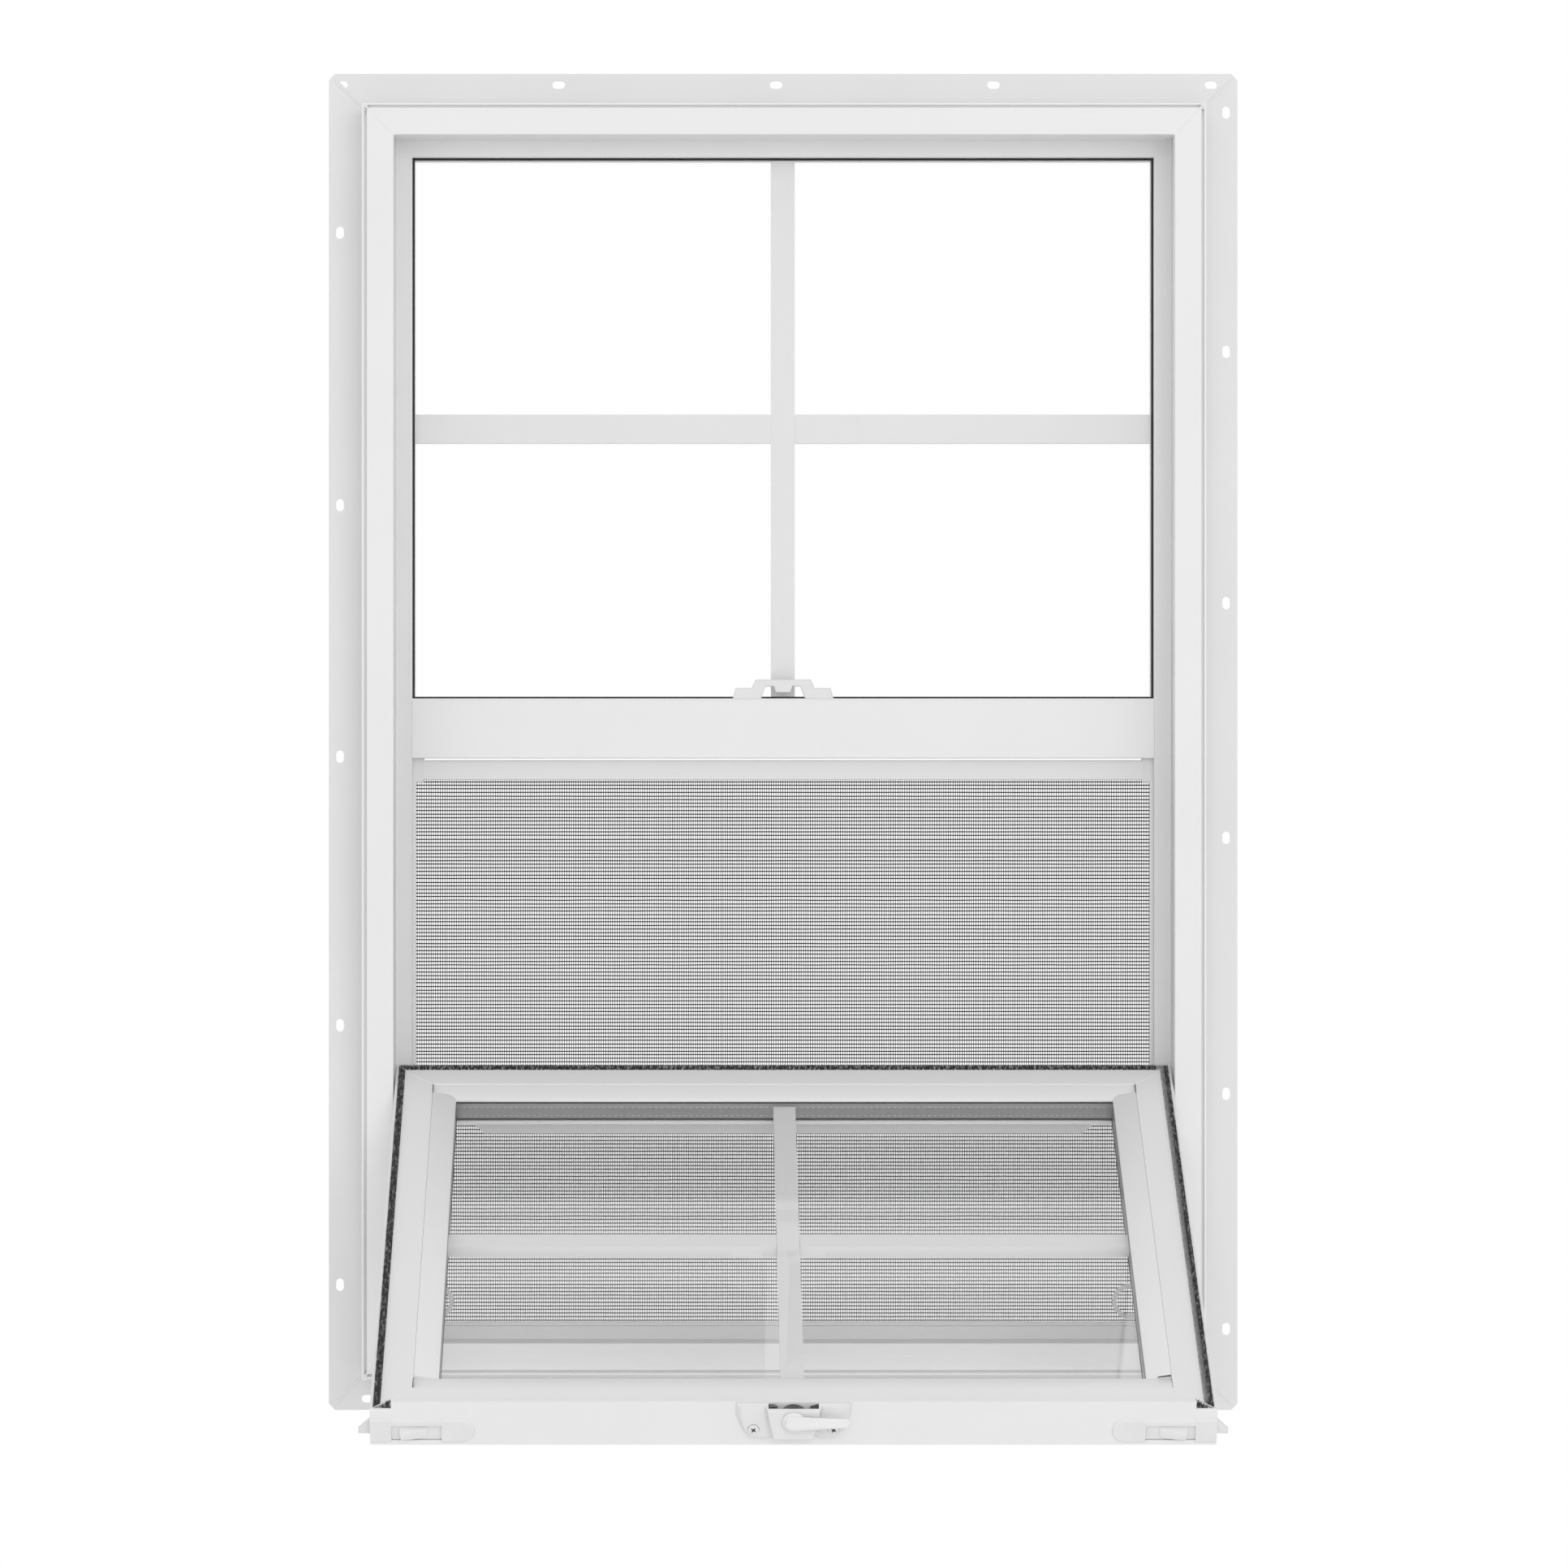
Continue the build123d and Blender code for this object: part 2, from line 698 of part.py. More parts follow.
# Lift rail on the indoor side of the bottom rail
lift_t = (sash_thickness, sash_thickness + lift_reach)
with BuildPart() as piece:
    lift_plane = Plane(origin=sash_base + up * lift_height, x_dir=(1, 0, 0), z_dir=up * -1)
    lift_points = [
        (-lift_half, lift_t[0]),
        (lift_half, lift_t[0]),
        (lift_half, lift_t[1] - lift_corner),
        (lift_half - lift_corner, lift_t[1]),
        (-lift_half + lift_corner, lift_t[1]),
        (-lift_half, lift_t[1] - lift_corner),
    ]
    add(prism(lift_plane, lift_points, 0, lift_thickness))
    add(
        sash_block(
            (-lift_half + lift_corner, lift_half - lift_corner),
            (lift_t[1] - lift_thickness, lift_t[1]),
            (lift_height - lift_thickness - lift_hook, lift_height - lift_thickness),
        )
    )
save("sash_lift", piece.part)

# Sash glass unit: panes, spacer and bars between the indoor lip and the beads
glass_t = sash_thickness - sash_lip - unit_depth
glass_x = half_sash - sash_face - sash_glass_margin
glass_h = (sash_face + sash_glass_margin, sash_height - sash_face - sash_glass_margin)
sash_panes = []
for depth in [glass_t, glass_t + pane + air_gap]:
    sash_panes.append(sash_block((-glass_x, glass_x), (depth, depth + pane), glass_h))
save("sash_glass", *sash_panes)

air_t = (glass_t + pane, glass_t + pane + air_gap)
sight_half = half_sash - sash_sight
sight_h = (sash_sight, sash_height - sash_sight)
with BuildPart() as piece:
    add(
        sash_block(
            (-sight_half - spacer_width, sight_half + spacer_width),
            air_t,
            (sight_h[0] - spacer_width, sight_h[1] + spacer_width),
        )
    )
    add(sash_block((-sight_half, sight_half), (air_t[0] - 1, air_t[1] + 1), sight_h), mode=Mode.SUBTRACT)
save("sash_spacer", piece.part)

bar_mid = (air_t[0] + air_t[1]) / 2
sash_bar_t = (bar_mid - grille_depth / 2, bar_mid + grille_depth / 2)
sash_mid = (sight_h[0] + sight_h[1]) / 2
cross_h = (sash_mid - sash_cross_width / 2, sash_mid + sash_cross_width / 2)
save(
    "sash_grille",
    sash_block((-sash_bar_width / 2, sash_bar_width / 2), sash_bar_t, sight_h),
    both(sash_block((sash_bar_width / 2 + hairline, sight_half), sash_bar_t, cross_h)),
)

# Sloped glazing beads of the sash, mitred
bead_outline = [
    (sash_face, bead_outer_drop),
    (sash_sight, bead_inner_drop),
    (sash_sight, glass_t),
    (sash_face, glass_t),
]
for name, side, inward, x, h, half_length in [
    ("sash_bead_left", "left", across, -half_sash, mid_h, sash_height / 2),
    ("sash_bead_right", "right", across * -1, half_sash, mid_h, sash_height / 2),
    ("sash_bead_bottom", "bottom", up, 0, 0, half_sash),
    ("sash_bead_top", "top", up * -1, 0, top_h, half_sash),
]:
    with BuildPart() as piece:
        add(prism(sash_side_plane(inward, x, h), bead_outline, -half_length, half_length, bead_round))
        add(sash_wedge(side), mode=Mode.INTERSECT)
    save(name, piece.part)

# Pile weatherstrips in the grooves round the outdoor face
pile_t = (-pile_height, pile_seat)
pile_end = pile_inset + pile_width
save(
    "sash_side_piles",
    both(sash_block((half_sash - pile_end, half_sash - pile_inset), pile_t, (pile_end, top_h - pile_inset))),
)
save(
    "sash_bottom_pile",
    sash_block((-half_sash + pile_end, half_sash - pile_end), pile_t, (pile_inset, pile_end)),
)
save(
    "sash_top_piles",
    both(
        sash_block(
            (interlock_half + hairline, half_sash - pile_end - hairline),
            pile_t,
            (top_h - pile_end, top_h - pile_inset),
        )
    ),
)

# Shoes in the jamb channels, the pivot bars that turn in them, and the balances above
shoe_x = (pocket_x + skin + shoe_clearance, shoe_in_x)
shoe_y = (room_y + channel_start + shoe_clearance, room_y + channel_start + channel_width - shoe_clearance)
shoe_z = (pivot_z - shoe_height / 2, pivot_z + shoe_height / 2)
with BuildPart() as piece:
    add(block(Plane.XY, shoe_x, shoe_y, shoe_z))
    bar_room = sash_block(
        (shoe_x[0] - 1, bar_out_x + pivot_clearance),
        (bar_t[0] - pivot_clearance, bar_t[1] + pivot_clearance),
        (bar_h[0] - pivot_clearance, bar_h[1] + pivot_clearance),
    )
    add(bar_room, mode=Mode.SUBTRACT)
save("balance_shoes", both(piece.part))
save("pivot_bars", both(sash_block((bar_out_x - pivot_bar_length, bar_out_x), bar_t, bar_h)))

balance_mid_x = (shoe_x[0] + shoe_x[1]) / 2
balance_mid_y = (shoe_y[0] + shoe_y[1]) / 2
balance_z = (shoe_z[1], shoe_z[1] + balance_length)
with BuildPart() as piece:
    wide_x = (balance_mid_x - balance_width / 2, balance_mid_x + balance_width / 2)
    wide_y = (balance_mid_y - balance_depth / 2, balance_mid_y + balance_depth / 2)
    add(block(Plane.XY, wide_x, wide_y, balance_z))
    add(
        block(
            Plane.XY,
            (wide_x[0] - 1, wide_x[1] - balance_skin),
            (wide_y[0] + balance_skin, wide_y[1] - balance_skin),
            balance_z,
        ),
        mode=Mode.SUBTRACT,
    )
save("balances", both(piece.part))

# Tilt latches: the housing in the top rail and the sprung bolt with its thumb button
side_x = half_sash
window_x = (side_x - latch_window_from_end - latch_window_length, side_x - latch_window_from_end)
window_t = (sash_thickness - (latch_width + latch_window_width) / 2, sash_thickness - (latch_width - latch_window_width) / 2)
cover_mid_t = (latch_t[0] + latch_t[1]) / 2
cover_plane = Plane(origin=sash_base + up * top_h, x_dir=(1, 0, 0), z_dir=up * -1)
with BuildPart() as piece:
    with BuildSketch(cover_plane.offset(-latch_height)):
        with Locations((side_x - (latch_length - latch_width / 2) / 2, cover_mid_t)):
            Rectangle(latch_length - latch_width / 2, latch_width)
        with Locations((side_x - latch_length + latch_width / 2, cover_mid_t)):
            Circle(latch_width / 2)
        with Locations(((window_x[0] + window_x[1]) / 2, (window_t[0] + window_t[1]) / 2)):
            Rectangle(latch_window_length, latch_window_width, mode=Mode.SUBTRACT)
    extrude(amount=latch_height)
    outer_rim = piece.faces().filter_by(lambda face: abs(face.normal_at().dot(up) - 1) < 0.001)[0]
    fillet(outer_rim.outer_wire().edges().filter_by(lambda edge: edge.center().X < side_x - 0.1), radius=latch_round)
housing = piece.part
save("latch_housing_right", housing)
save("latch_housing_left", housing.mirror(Plane.YZ))

bolt_h = (top_h - running_gap - bolt_height, top_h - running_gap)
button_x = (window_x[0] + running_gap + latch_travel + 1.0, window_x[0] + running_gap + latch_travel + 1.0 + button_length)
button_t = (window_t[0] + running_gap, min(window_t[1], bolt_t[1]) - running_gap)
with BuildPart() as piece:
    bolt_points = [
        (side_x - bolt_length, bolt_t[0]),
        (side_x, bolt_t[0]),
        (side_x + bolt_out, bolt_t[1] - bolt_tip),
        (side_x + bolt_out, bolt_t[1]),
        (side_x - bolt_length, bolt_t[1]),
    ]
    add(prism(cover_plane.offset(running_gap), bolt_points, 0, bolt_height))
    button_plane = Plane(origin=sash_base + up * top_h - out * button_t[0], x_dir=(1, 0, 0), z_dir=out * -1)
    button_points = [
        (button_x[0], -running_gap),
        (button_x[0], latch_height),
        (button_x[0] + 2.0, latch_height + 0.4),
        (button_x[1] - 2.5, latch_height + button_height),
        (button_x[1], latch_height + button_height - 0.6),
        (button_x[1], -running_gap),
    ]
    add(prism(button_plane, button_points, 0, button_t[1] - button_t[0]))
bolt = piece.part
save("latch_bolt_right", bolt)
save("latch_bolt_left", bolt.mirror(Plane.YZ))

# Lock: the base with its cam room, the turning lever with the cam, and two screws
lock_back = -interlock_height
cam_top = lock_pad + cam_room_height


def upward(face):
    """Whether a face looks out of the sash's top end."""
    return abs(face.normal_at().dot(up) - 1) < 0.001


with BuildPart() as plate:
    plate_points = [
        (-lock_half_back, lock_back),
        (lock_half_back, lock_back),
        (lock_half_front, lock_front - 5.0),
        (lock_half_front - 5.0, lock_front),
        (-lock_half_front + 5.0, lock_front),
        (-lock_half_front, lock_front - 5.0),
    ]
    add(prism(cover_plane, plate_points, -lock_plate, 0))
    rim = plate.faces().filter_by(upward).sort_by(SortBy.AREA)[-1]
    chamfer(rim.edges(), length=casting_chamfer)
with BuildPart() as hump:
    block_points = [
        (-block_half_back, lock_back + casting_chamfer),
        (block_half_back, lock_back + casting_chamfer),
        (block_half_front, lock_front + block_overhang),
        (-block_half_front, lock_front + block_overhang),
    ]
    with BuildSketch(cover_plane):
        with BuildLine():
            Polyline(*block_points, close=True)
        make_face()
    extrude(amount=-block_height, taper=block_taper)
    rim = hump.faces().filter_by(upward).sort_by(SortBy.AREA)[-1]
    fillet(rim.edges(), radius=edge_round)
with BuildPart() as piece:
    add(plate.part)
    add(hump.part)
    with BuildSketch(cover_plane.offset(-cam_top)):
        with Locations((0, hub_from_face)):
            Circle(cam_reach + running_gap)
        with Locations((0, (lock_back - 1 + hub_from_face) / 2)):
            Rectangle(2 * lock_window_half, hub_from_face - lock_back + 1)
    extrude(amount=cam_room_height, mode=Mode.SUBTRACT)
    with BuildSketch(cover_plane.offset(-block_height)):
        with Locations((0, hub_from_face)):
            Circle(stem_radius + stem_clearance)
    extrude(amount=block_height - cam_top, mode=Mode.SUBTRACT)
    with BuildSketch(cover_plane.offset(-lock_plate)):
        with Locations((-screw_spacing / 2, screw_from_face), (screw_spacing / 2, screw_from_face)):
            Circle(screw_radius)
    extrude(amount=lock_plate, mode=Mode.SUBTRACT)
save("lock_base", piece.part)

cam_low = lock_pad + (cam_room_height - cam_thickness) / 2
lever_low = block_height + lever_gap
with BuildPart() as arm:
    with BuildSketch(cover_plane.offset(-lever_low - hub_height)):
        with Locations((0, hub_from_face)):
            Circle(arm_radius)
        with Locations((lever_reach - lever_tip, hub_from_face)):
            Circle(lever_tip)
        make_hull()
    extrude(amount=-lever_thickness)
    rim = arm.faces().filter_by(upward).sort_by(SortBy.AREA)[-1]
    fillet(rim.edges(), radius=lever_round)
with BuildPart() as piece:
    with BuildSketch(cover_plane.offset(-cam_low - cam_thickness)):
        with Locations((0, hub_from_face)):
            Circle(cam_half)
        with Locations((0, hub_from_face + (cam_reach - cam_tip_inset) / 2)):
            Rectangle(2 * cam_half, cam_reach - cam_tip_inset)
    extrude(amount=cam_thickness)
    with BuildSketch(cover_plane.offset(-lever_low)):
        with Locations((0, hub_from_face)):
            Circle(stem_radius)
    extrude(amount=lever_low - cam_low - cam_thickness / 2)
    with BuildSketch(cover_plane.offset(-lever_low - hub_height)):
        with Locations((0, hub_from_face)):
            Circle(hub_radius)
    extrude(amount=hub_height)
    add(arm.part)
save("lock_lever", piece.part)

with BuildPart() as piece:
    with BuildSketch(cover_plane.offset(-lock_plate)):
        with Locations((screw_spacing / 2, screw_from_face)):
            Circle(screw_head / 2)
    extrude(amount=-screw_head_height)
    crown = piece.faces().filter_by(upward).sort_by(SortBy.AREA)[-1]
    chamfer(crown.edges(), length=screw_head_height / 3)
    with BuildSketch(cover_plane.offset(-lock_plate)):
        with Locations((screw_spacing / 2, screw_from_face)):
            Circle(screw_radius)
    extrude(amount=lock_plate)
    with BuildSketch(cover_plane.offset(-lock_plate - screw_head_height)):
        with Locations(Location((screw_spacing / 2, screw_from_face), 30)):
            Rectangle(recess_length, recess_width)
        with Locations(Location((screw_spacing / 2, screw_from_face), 120)):
            Rectangle(recess_length, recess_width)
    extrude(amount=recess_depth, mode=Mode.SUBTRACT)
save("lock_screws", both(piece.part))
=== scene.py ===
import math

import bmesh
import bpy
import numpy as np
from mathutils import Matrix, Vector, noise


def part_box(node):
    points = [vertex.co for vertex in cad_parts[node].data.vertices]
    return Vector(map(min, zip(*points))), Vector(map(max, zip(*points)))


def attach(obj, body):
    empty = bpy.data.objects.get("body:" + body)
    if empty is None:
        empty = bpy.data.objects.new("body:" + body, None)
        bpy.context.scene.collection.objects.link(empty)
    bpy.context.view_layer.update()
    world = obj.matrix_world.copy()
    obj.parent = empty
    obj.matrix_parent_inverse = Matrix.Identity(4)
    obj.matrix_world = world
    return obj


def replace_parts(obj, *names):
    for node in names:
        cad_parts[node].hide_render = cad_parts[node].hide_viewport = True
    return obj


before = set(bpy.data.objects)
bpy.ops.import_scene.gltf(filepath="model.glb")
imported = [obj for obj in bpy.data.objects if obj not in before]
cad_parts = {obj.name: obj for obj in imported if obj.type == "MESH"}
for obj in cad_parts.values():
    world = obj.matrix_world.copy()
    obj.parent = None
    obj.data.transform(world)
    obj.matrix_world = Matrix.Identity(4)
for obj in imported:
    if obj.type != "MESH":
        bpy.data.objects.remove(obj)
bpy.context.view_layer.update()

scene = bpy.context.scene
scene.view_settings.view_transform = "Standard"

# Camera: a long lens in the room, level and square to the window, a little left of its middle and
# below its centre. The picture is shifted, not turned, so the frame's uprights stay parallel.
camera_place = Vector((-0.0746, -4.659, 0.3819))
camera_focus_mm = 150.04
camera_shift = (0.0673, 0.0462)
camera_data = bpy.data.cameras.new("room_camera")
camera_data.lens = camera_focus_mm
camera_data.sensor_width = 36.0
camera_data.shift_x, camera_data.shift_y = camera_shift
camera_data.clip_end = 50.0
camera = bpy.data.objects.new("room_camera", camera_data)
camera.matrix_world = Matrix.Translation(camera_place) @ Matrix.Rotation(math.radians(90), 4, "X")
scene.collection.objects.link(camera)
scene.camera = camera

# Room light: an even white room all round, seen as plain white by the camera and in the glass,
# under a darker ceiling, and two broad soft boxes, the stronger in front and a little to the right.
room_level = 0.755
ceiling_fall = (0.25, 0.80, 1.0, 0.40)
soft_box_size = 2.4
soft_boxes = [("front_box", (0.5, -4.4, 1.15), 48.0), ("back_box", (-1.2, 3.6, 2.6), 25.0)]
window_middle = Vector((0.0, 0.0, 0.46))


def reckon(nodes, links, operation, first, second):
    """The result of a Math node. Each input is a number or the output of a node."""
    step = nodes.new("ShaderNodeMath")
    step.operation = operation
    for socket, value in zip(step.inputs, (first, second)):
        if isinstance(value, float):
            socket.default_value = value
        else:
            links.new(value, socket)
    return step.outputs[0]


def remap(nodes, links, value, low, high, to_low, to_high):
    """Value, taken from low..high to to_low..to_high and held between them."""
    step = nodes.new("ShaderNodeMapRange")
    step.inputs["From Min"].default_value = low
    step.inputs["From Max"].default_value = high
    step.inputs["To Min"].default_value = to_low
    step.inputs["To Max"].default_value = to_high
    links.new(value, step.inputs["Value"])
    return step.outputs["Result"]


def looked_at(nodes, links, path):
    """1 for rays that the camera sees by: straight, mirrored or through glass."""
    straight = reckon(nodes, links, "MAXIMUM", path["Is Camera Ray"], path["Is Glossy Ray"])
    return reckon(nodes, links, "MAXIMUM", straight, path["Is Transmission Ray"])


room = bpy.data.worlds.new("white_room")
room.use_nodes = True
nodes, links = room.node_tree.nodes, room.node_tree.links
background = nodes["Background"]
background.inputs["Color"].default_value = (1, 1, 1, 1)
path = nodes.new("ShaderNodeLightPath").outputs
unlit_yet = reckon(nodes, links, "LESS_THAN", path["Diffuse Depth"], 0.5)
plain_white = reckon(nodes, links, "MULTIPLY", looked_at(nodes, links, path), unlit_yet)
rise = nodes.new("ShaderNodeSeparateXYZ")
links.new(nodes.new("ShaderNodeTexCoord").outputs["Generated"], rise.inputs["Vector"])
ceiling = remap(nodes, links, rise.outputs["Z"], *ceiling_fall)
level = nodes.new("ShaderNodeMapRange")
level.inputs["To Min"].default_value = room_level
links.new(reckon(nodes, links, "MAXIMUM", ceiling, path["Is Camera Ray"]), level.inputs["To Max"])
links.new(plain_white, level.inputs["Value"])
links.new(level.outputs["Result"], background.inputs["Strength"])
scene.world = room

for box_name, box_place, box_watts in soft_boxes:
    box_light = bpy.data.lights.new(box_name, "AREA")
    box_light.energy = box_watts
    box_light.size = soft_box_size
    box = bpy.data.objects.new(box_name, box_light)
    box.location = box_place
    box.rotation_euler = (window_middle - Vector(box_place)).to_track_quat("-Z", "Y").to_euler()
    box.visible_camera = False
    box.visible_glossy = False
    box.visible_transmission = False
    scene.collection.objects.link(box)

# Floor: a plain pale studio floor, well below the window, which hangs in its wall at working height.
# It keeps the window's soft shadow near the middle and runs out to white.
floor_level = -0.9
floor_half = 6.0
floor_fade = (1.2, 3.4)
floor_grey = 0.86


def new_finish(name):
    """A new material with its nodes, its links and its Principled shader."""
    finish = bpy.data.materials.new(name)
    finish.use_nodes = True
    tree = finish.node_tree
    return finish, tree.nodes, tree.links, tree.nodes["Principled BSDF"]


floor_mesh = bpy.data.meshes.new("studio_floor")
floor_corners = [(-1, -1), (1, -1), (1, 1), (-1, 1)]
floor_points = [(x * floor_half, y * floor_half, floor_level) for x, y in floor_corners]
floor_mesh.from_pydata(floor_points, [], [(0, 1, 2, 3)])
floor = bpy.data.objects.new("studio_floor", floor_mesh)
scene.collection.objects.link(floor)
floor_finish, nodes, links, shader = new_finish("pale_floor")
shader.inputs["Base Color"].default_value = (floor_grey, floor_grey, floor_grey, 1)
shader.inputs["Roughness"].default_value = 0.9
place = nodes.new("ShaderNodeTexCoord")
reach = nodes.new("ShaderNodeVectorMath")
reach.operation = "LENGTH"
flat = nodes.new("ShaderNodeVectorMath")
flat.operation = "MULTIPLY"
flat.inputs[1].default_value = (1, 1, 0)
links.new(place.outputs["Object"], flat.inputs[0])
links.new(flat.outputs["Vector"], reach.inputs[0])
fade = remap(nodes, links, reach.outputs["Value"], *floor_fade, 0.0, 1.0)
path = nodes.new("ShaderNodeLightPath").outputs
far_white = reckon(nodes, links, "MULTIPLY", fade, looked_at(nodes, links, path))
white = nodes.new("ShaderNodeEmission")
blend = nodes.new("ShaderNodeMixShader")
links.new(far_white, blend.inputs["Fac"])
links.new(shader.outputs["BSDF"], blend.inputs[1])
links.new(white.outputs["Emission"], blend.inputs[2])
links.new(blend.outputs["Shader"], nodes["Material Output"].inputs["Surface"])
floor_mesh.materials.append(floor_finish)

# Frame: four hollow lengths of extruded white vinyl with a nail fin, mitred and hot-plate welded at
# the corners. Die lines run along each length, and the white has faint clouds and a few dark specks.
frame_white = 0.845
speck_grey = 0.30
sash_tilt = math.radians(117.4)


def object_place(nodes, links, turned=0.0):
    """The object's own coordinates, turned about X so that Z runs up a tilted piece."""
    place = nodes.new("ShaderNodeTexCoord").outputs["Object"]
    if turned == 0.0:
        return place
    turn = nodes.new("ShaderNodeVectorRotate")
    turn.rotation_type = "X_AXIS"
    turn.inputs["Angle"].default_value = turned
    links.new(place, turn.inputs["Vector"])
    return turn.outputs["Vector"]


def stretched(nodes, links, place, scale):
    """Coordinates scaled differently on each axis."""
    scaled = nodes.new("ShaderNodeVectorMath")
    scaled.operation = "MULTIPLY"
    scaled.inputs[1].default_value = scale
    links.new(place, scaled.inputs[0])
    return scaled.outputs["Vector"]


def grain(nodes, links, place, scale, detail=2.0):
    """Soft noise from 0 to 1."""
    cloud = nodes.new("ShaderNodeTexNoise")
    cloud.inputs["Scale"].default_value = scale
    cloud.inputs["Detail"].default_value = detail
    links.new(place, cloud.inputs["Vector"])
    return cloud.outputs["Fac"]


def blended(nodes, links, share, first, second):
    """A colour between first and second, each a grey or the output of a node."""
    mix = nodes.new("ShaderNodeMix")
    mix.data_type = "RGBA"
    links.new(share, mix.inputs[0])
    for socket, colour in [(mix.inputs[6], first), (mix.inputs[7], second)]:
        if isinstance(colour, float):
            socket.default_value = (colour, colour, colour, 1)
        else:
            links.new(colour, socket)
    return mix.outputs[2]


def raised(nodes, links, shader, height, depth, strength=1.0):
    """Bumps the shader's surface by height, depth metres deep."""
    bump = nodes.new("ShaderNodeBump")
    bump.inputs["Strength"].default_value = strength
    bump.inputs["Distance"].default_value = depth
    links.new(height, bump.inputs["Height"])
    links.new(bump.outputs["Normal"], shader.inputs["Normal"])


def vinyl(name, grey, run, turned=0.0, specks=0.975, flange_painted_shade=1.0):
    """Extruded white vinyl whose die lines run along "X" or "Z", with painted shade greying the flange behind
    the face.
    """
    finish, nodes, links, shader = new_finish(name)
    place = object_place(nodes, links, turned)
    clouds = remap(nodes, links, grain(nodes, links, place, 11.0, 4.0), 0.3, 0.7, 0.0, 1.0)
    body = blended(nodes, links, clouds, grey * 0.982, grey * 1.006)
    # Painted shade: the flange behind the face is darkened by a tone set by its depth.
    if flange_painted_shade < 1.0:
        across = nodes.new("ShaderNodeSeparateXYZ")
        links.new(place, across.inputs["Vector"])
        tone = remap(nodes, links, across.outputs["Y"], -0.0045, -0.0025, 1.0, flange_painted_shade)
        shaded_body = nodes.new("ShaderNodeVectorMath")
        shaded_body.operation = "SCALE"
        links.new(body, shaded_body.inputs[0])
        links.new(tone, shaded_body.inputs["Scale"])
        body = shaded_body.outputs["Vector"]
    cells = nodes.new("ShaderNodeTexVoronoi")
    cells.inputs["Scale"].default_value = 75.0
    links.new(place, cells.inputs["Vector"])
    chosen = nodes.new("ShaderNodeSeparateColor")
    links.new(cells.outputs["Color"], chosen.inputs["Color"])
    rare = remap(nodes, links, chosen.outputs["Red"], specks, specks + 0.001, 0.0, 1.0)
    dot = remap(nodes, links, cells.outputs["Distance"], 0.018, 0.034, 1.0, 0.0)
    speck = reckon(nodes, links, "MULTIPLY", rare, dot)
    links.new(blended(nodes, links, speck, body, speck_grey), shader.inputs["Base Color"])
    along = {"X": (4.0, 420.0, 420.0), "Z": (420.0, 420.0, 4.0)}[run]
    lines = grain(nodes, links, stretched(nodes, links, place, along), 1.0, 3.0)
    links.new(remap(nodes, links, lines, 0.3, 0.7, 0.36, 0.50), shader.inputs["Roughness"])
    raised(nodes, links, shader, lines, 0.00002)
    return finish


def dress(finish, *names):
    """Gives CAD nodes their finish."""
    for name in names:
        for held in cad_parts[name].material_slots:
            held.material = finish


# The frame's fin and shoulders behind the face carry painted shade, darker than the face.
vinyl_along = vinyl("vinyl_along", frame_white, "X", flange_painted_shade=0.945)
vinyl_upright = vinyl("vinyl_upright", frame_white, "Z", flange_painted_shade=0.945)
dress(vinyl_along, "frame_head", "frame_sill")
dress(vinyl_upright, "frame_left_jamb", "frame_right_jamb")

# Corner welds of the frame: the bead of vinyl that the hot plate squeezes out of each mitre, left as
# a low flat ridge on the fin, a finer one on the face, and small curls of flash where the grooves meet.
fin_half = (0.32385, 0.9398)
frame_half = (0.29845, 0.9144)
pocket_half = (0.27585, 0.8918)
sight_half = (0.26445, 0.8804)
frame_foot = 0.0127
face_depth = -0.0440
shoulder_depth = -0.0010
fin_depth = 0.0
frame_axis = (frame_half[1] + frame_foot) / 2
room_side = (0, -1, 0)
curl_count = 9
weld_seams = [
    (fin_depth, fin_half, 0.0026, frame_half, -0.0004, 0.0027, 0.00095, 0),
    (face_depth, frame_half, 0.0006, pocket_half, -0.0003, 0.0013, 0.00042, 10),
    (shoulder_depth, pocket_half, 0.0, sight_half, 0.0, 0.0009, 0.00022, 20),
]
smooth_angle = math.radians(38)


def loft(shell, rings):
    """Skins closed rings of points one after another, with a cap at each end."""
    rows = [[shell.verts.new(point) for point in ring] for ring in rings]
    count = len(rows[0])
    for first, second in zip(rows, rows[1:]):
        for k in range(count):
            shell.faces.new((first[k], first[(k + 1) % count], second[(k + 1) % count], second[k]))
    shell.faces.new(rows[0][::-1])
    shell.faces.new(rows[-1])


def weld_ridge(shell, start, end, away, width, height, seed):
    """Adds a low, slightly uneven seam to shell, from start to end, standing out along away."""
    start, end, away = Vector(start), Vector(end), Vector(away).normalized()
    run = (end - start).normalized()
    side = run.cross(away).normalized()
    stations = max(6, int((end - start).length / 0.0011))
    rings = []
    for i in range(stations + 1):
        share = i / stations
        ends = min(1.0, 6 * share, 6 * (1 - share))
        drift = noise.noise(Vector((seed * 7.1, share * 9, 0))) * width * 0.07
        swell = (0.85 + 0.5 * noise.noise(Vector((seed * 3.3, share * 17, 4)))) * (0.25 + 0.75 * ends)
        middle = start + run * (end - start).length * share + side * drift
        ring = []
        for out_side, rise in [(-0.5, -0.12), (-0.3, 0.75), (0.0, 1.0), (0.3, 0.75), (0.5, -0.12)]:
            ring.append(middle + side * width * out_side * (0.6 + 0.4 * ends) + away * height * rise * swell)
        rings.append(ring)
    loft(shell, rings)


def flash_curl(shell, place, size, seed):
    """Adds a small torn curl of squeezed-out vinyl."""
    start = len(shell.verts)
    bmesh.ops.create_icosphere(shell, subdivisions=2, radius=1.0)
    shell.verts.ensure_lookup_table()
    for vert in list(shell.verts)[start:]:
        ripple = 1 + 0.55 * noise.noise(vert.co * 1.9 + Vector((seed * 5.7, seed, 0)))
        vert.co = Vector(place) + Vector([vert.co[k] * size[k] * ripple for k in range(3)])


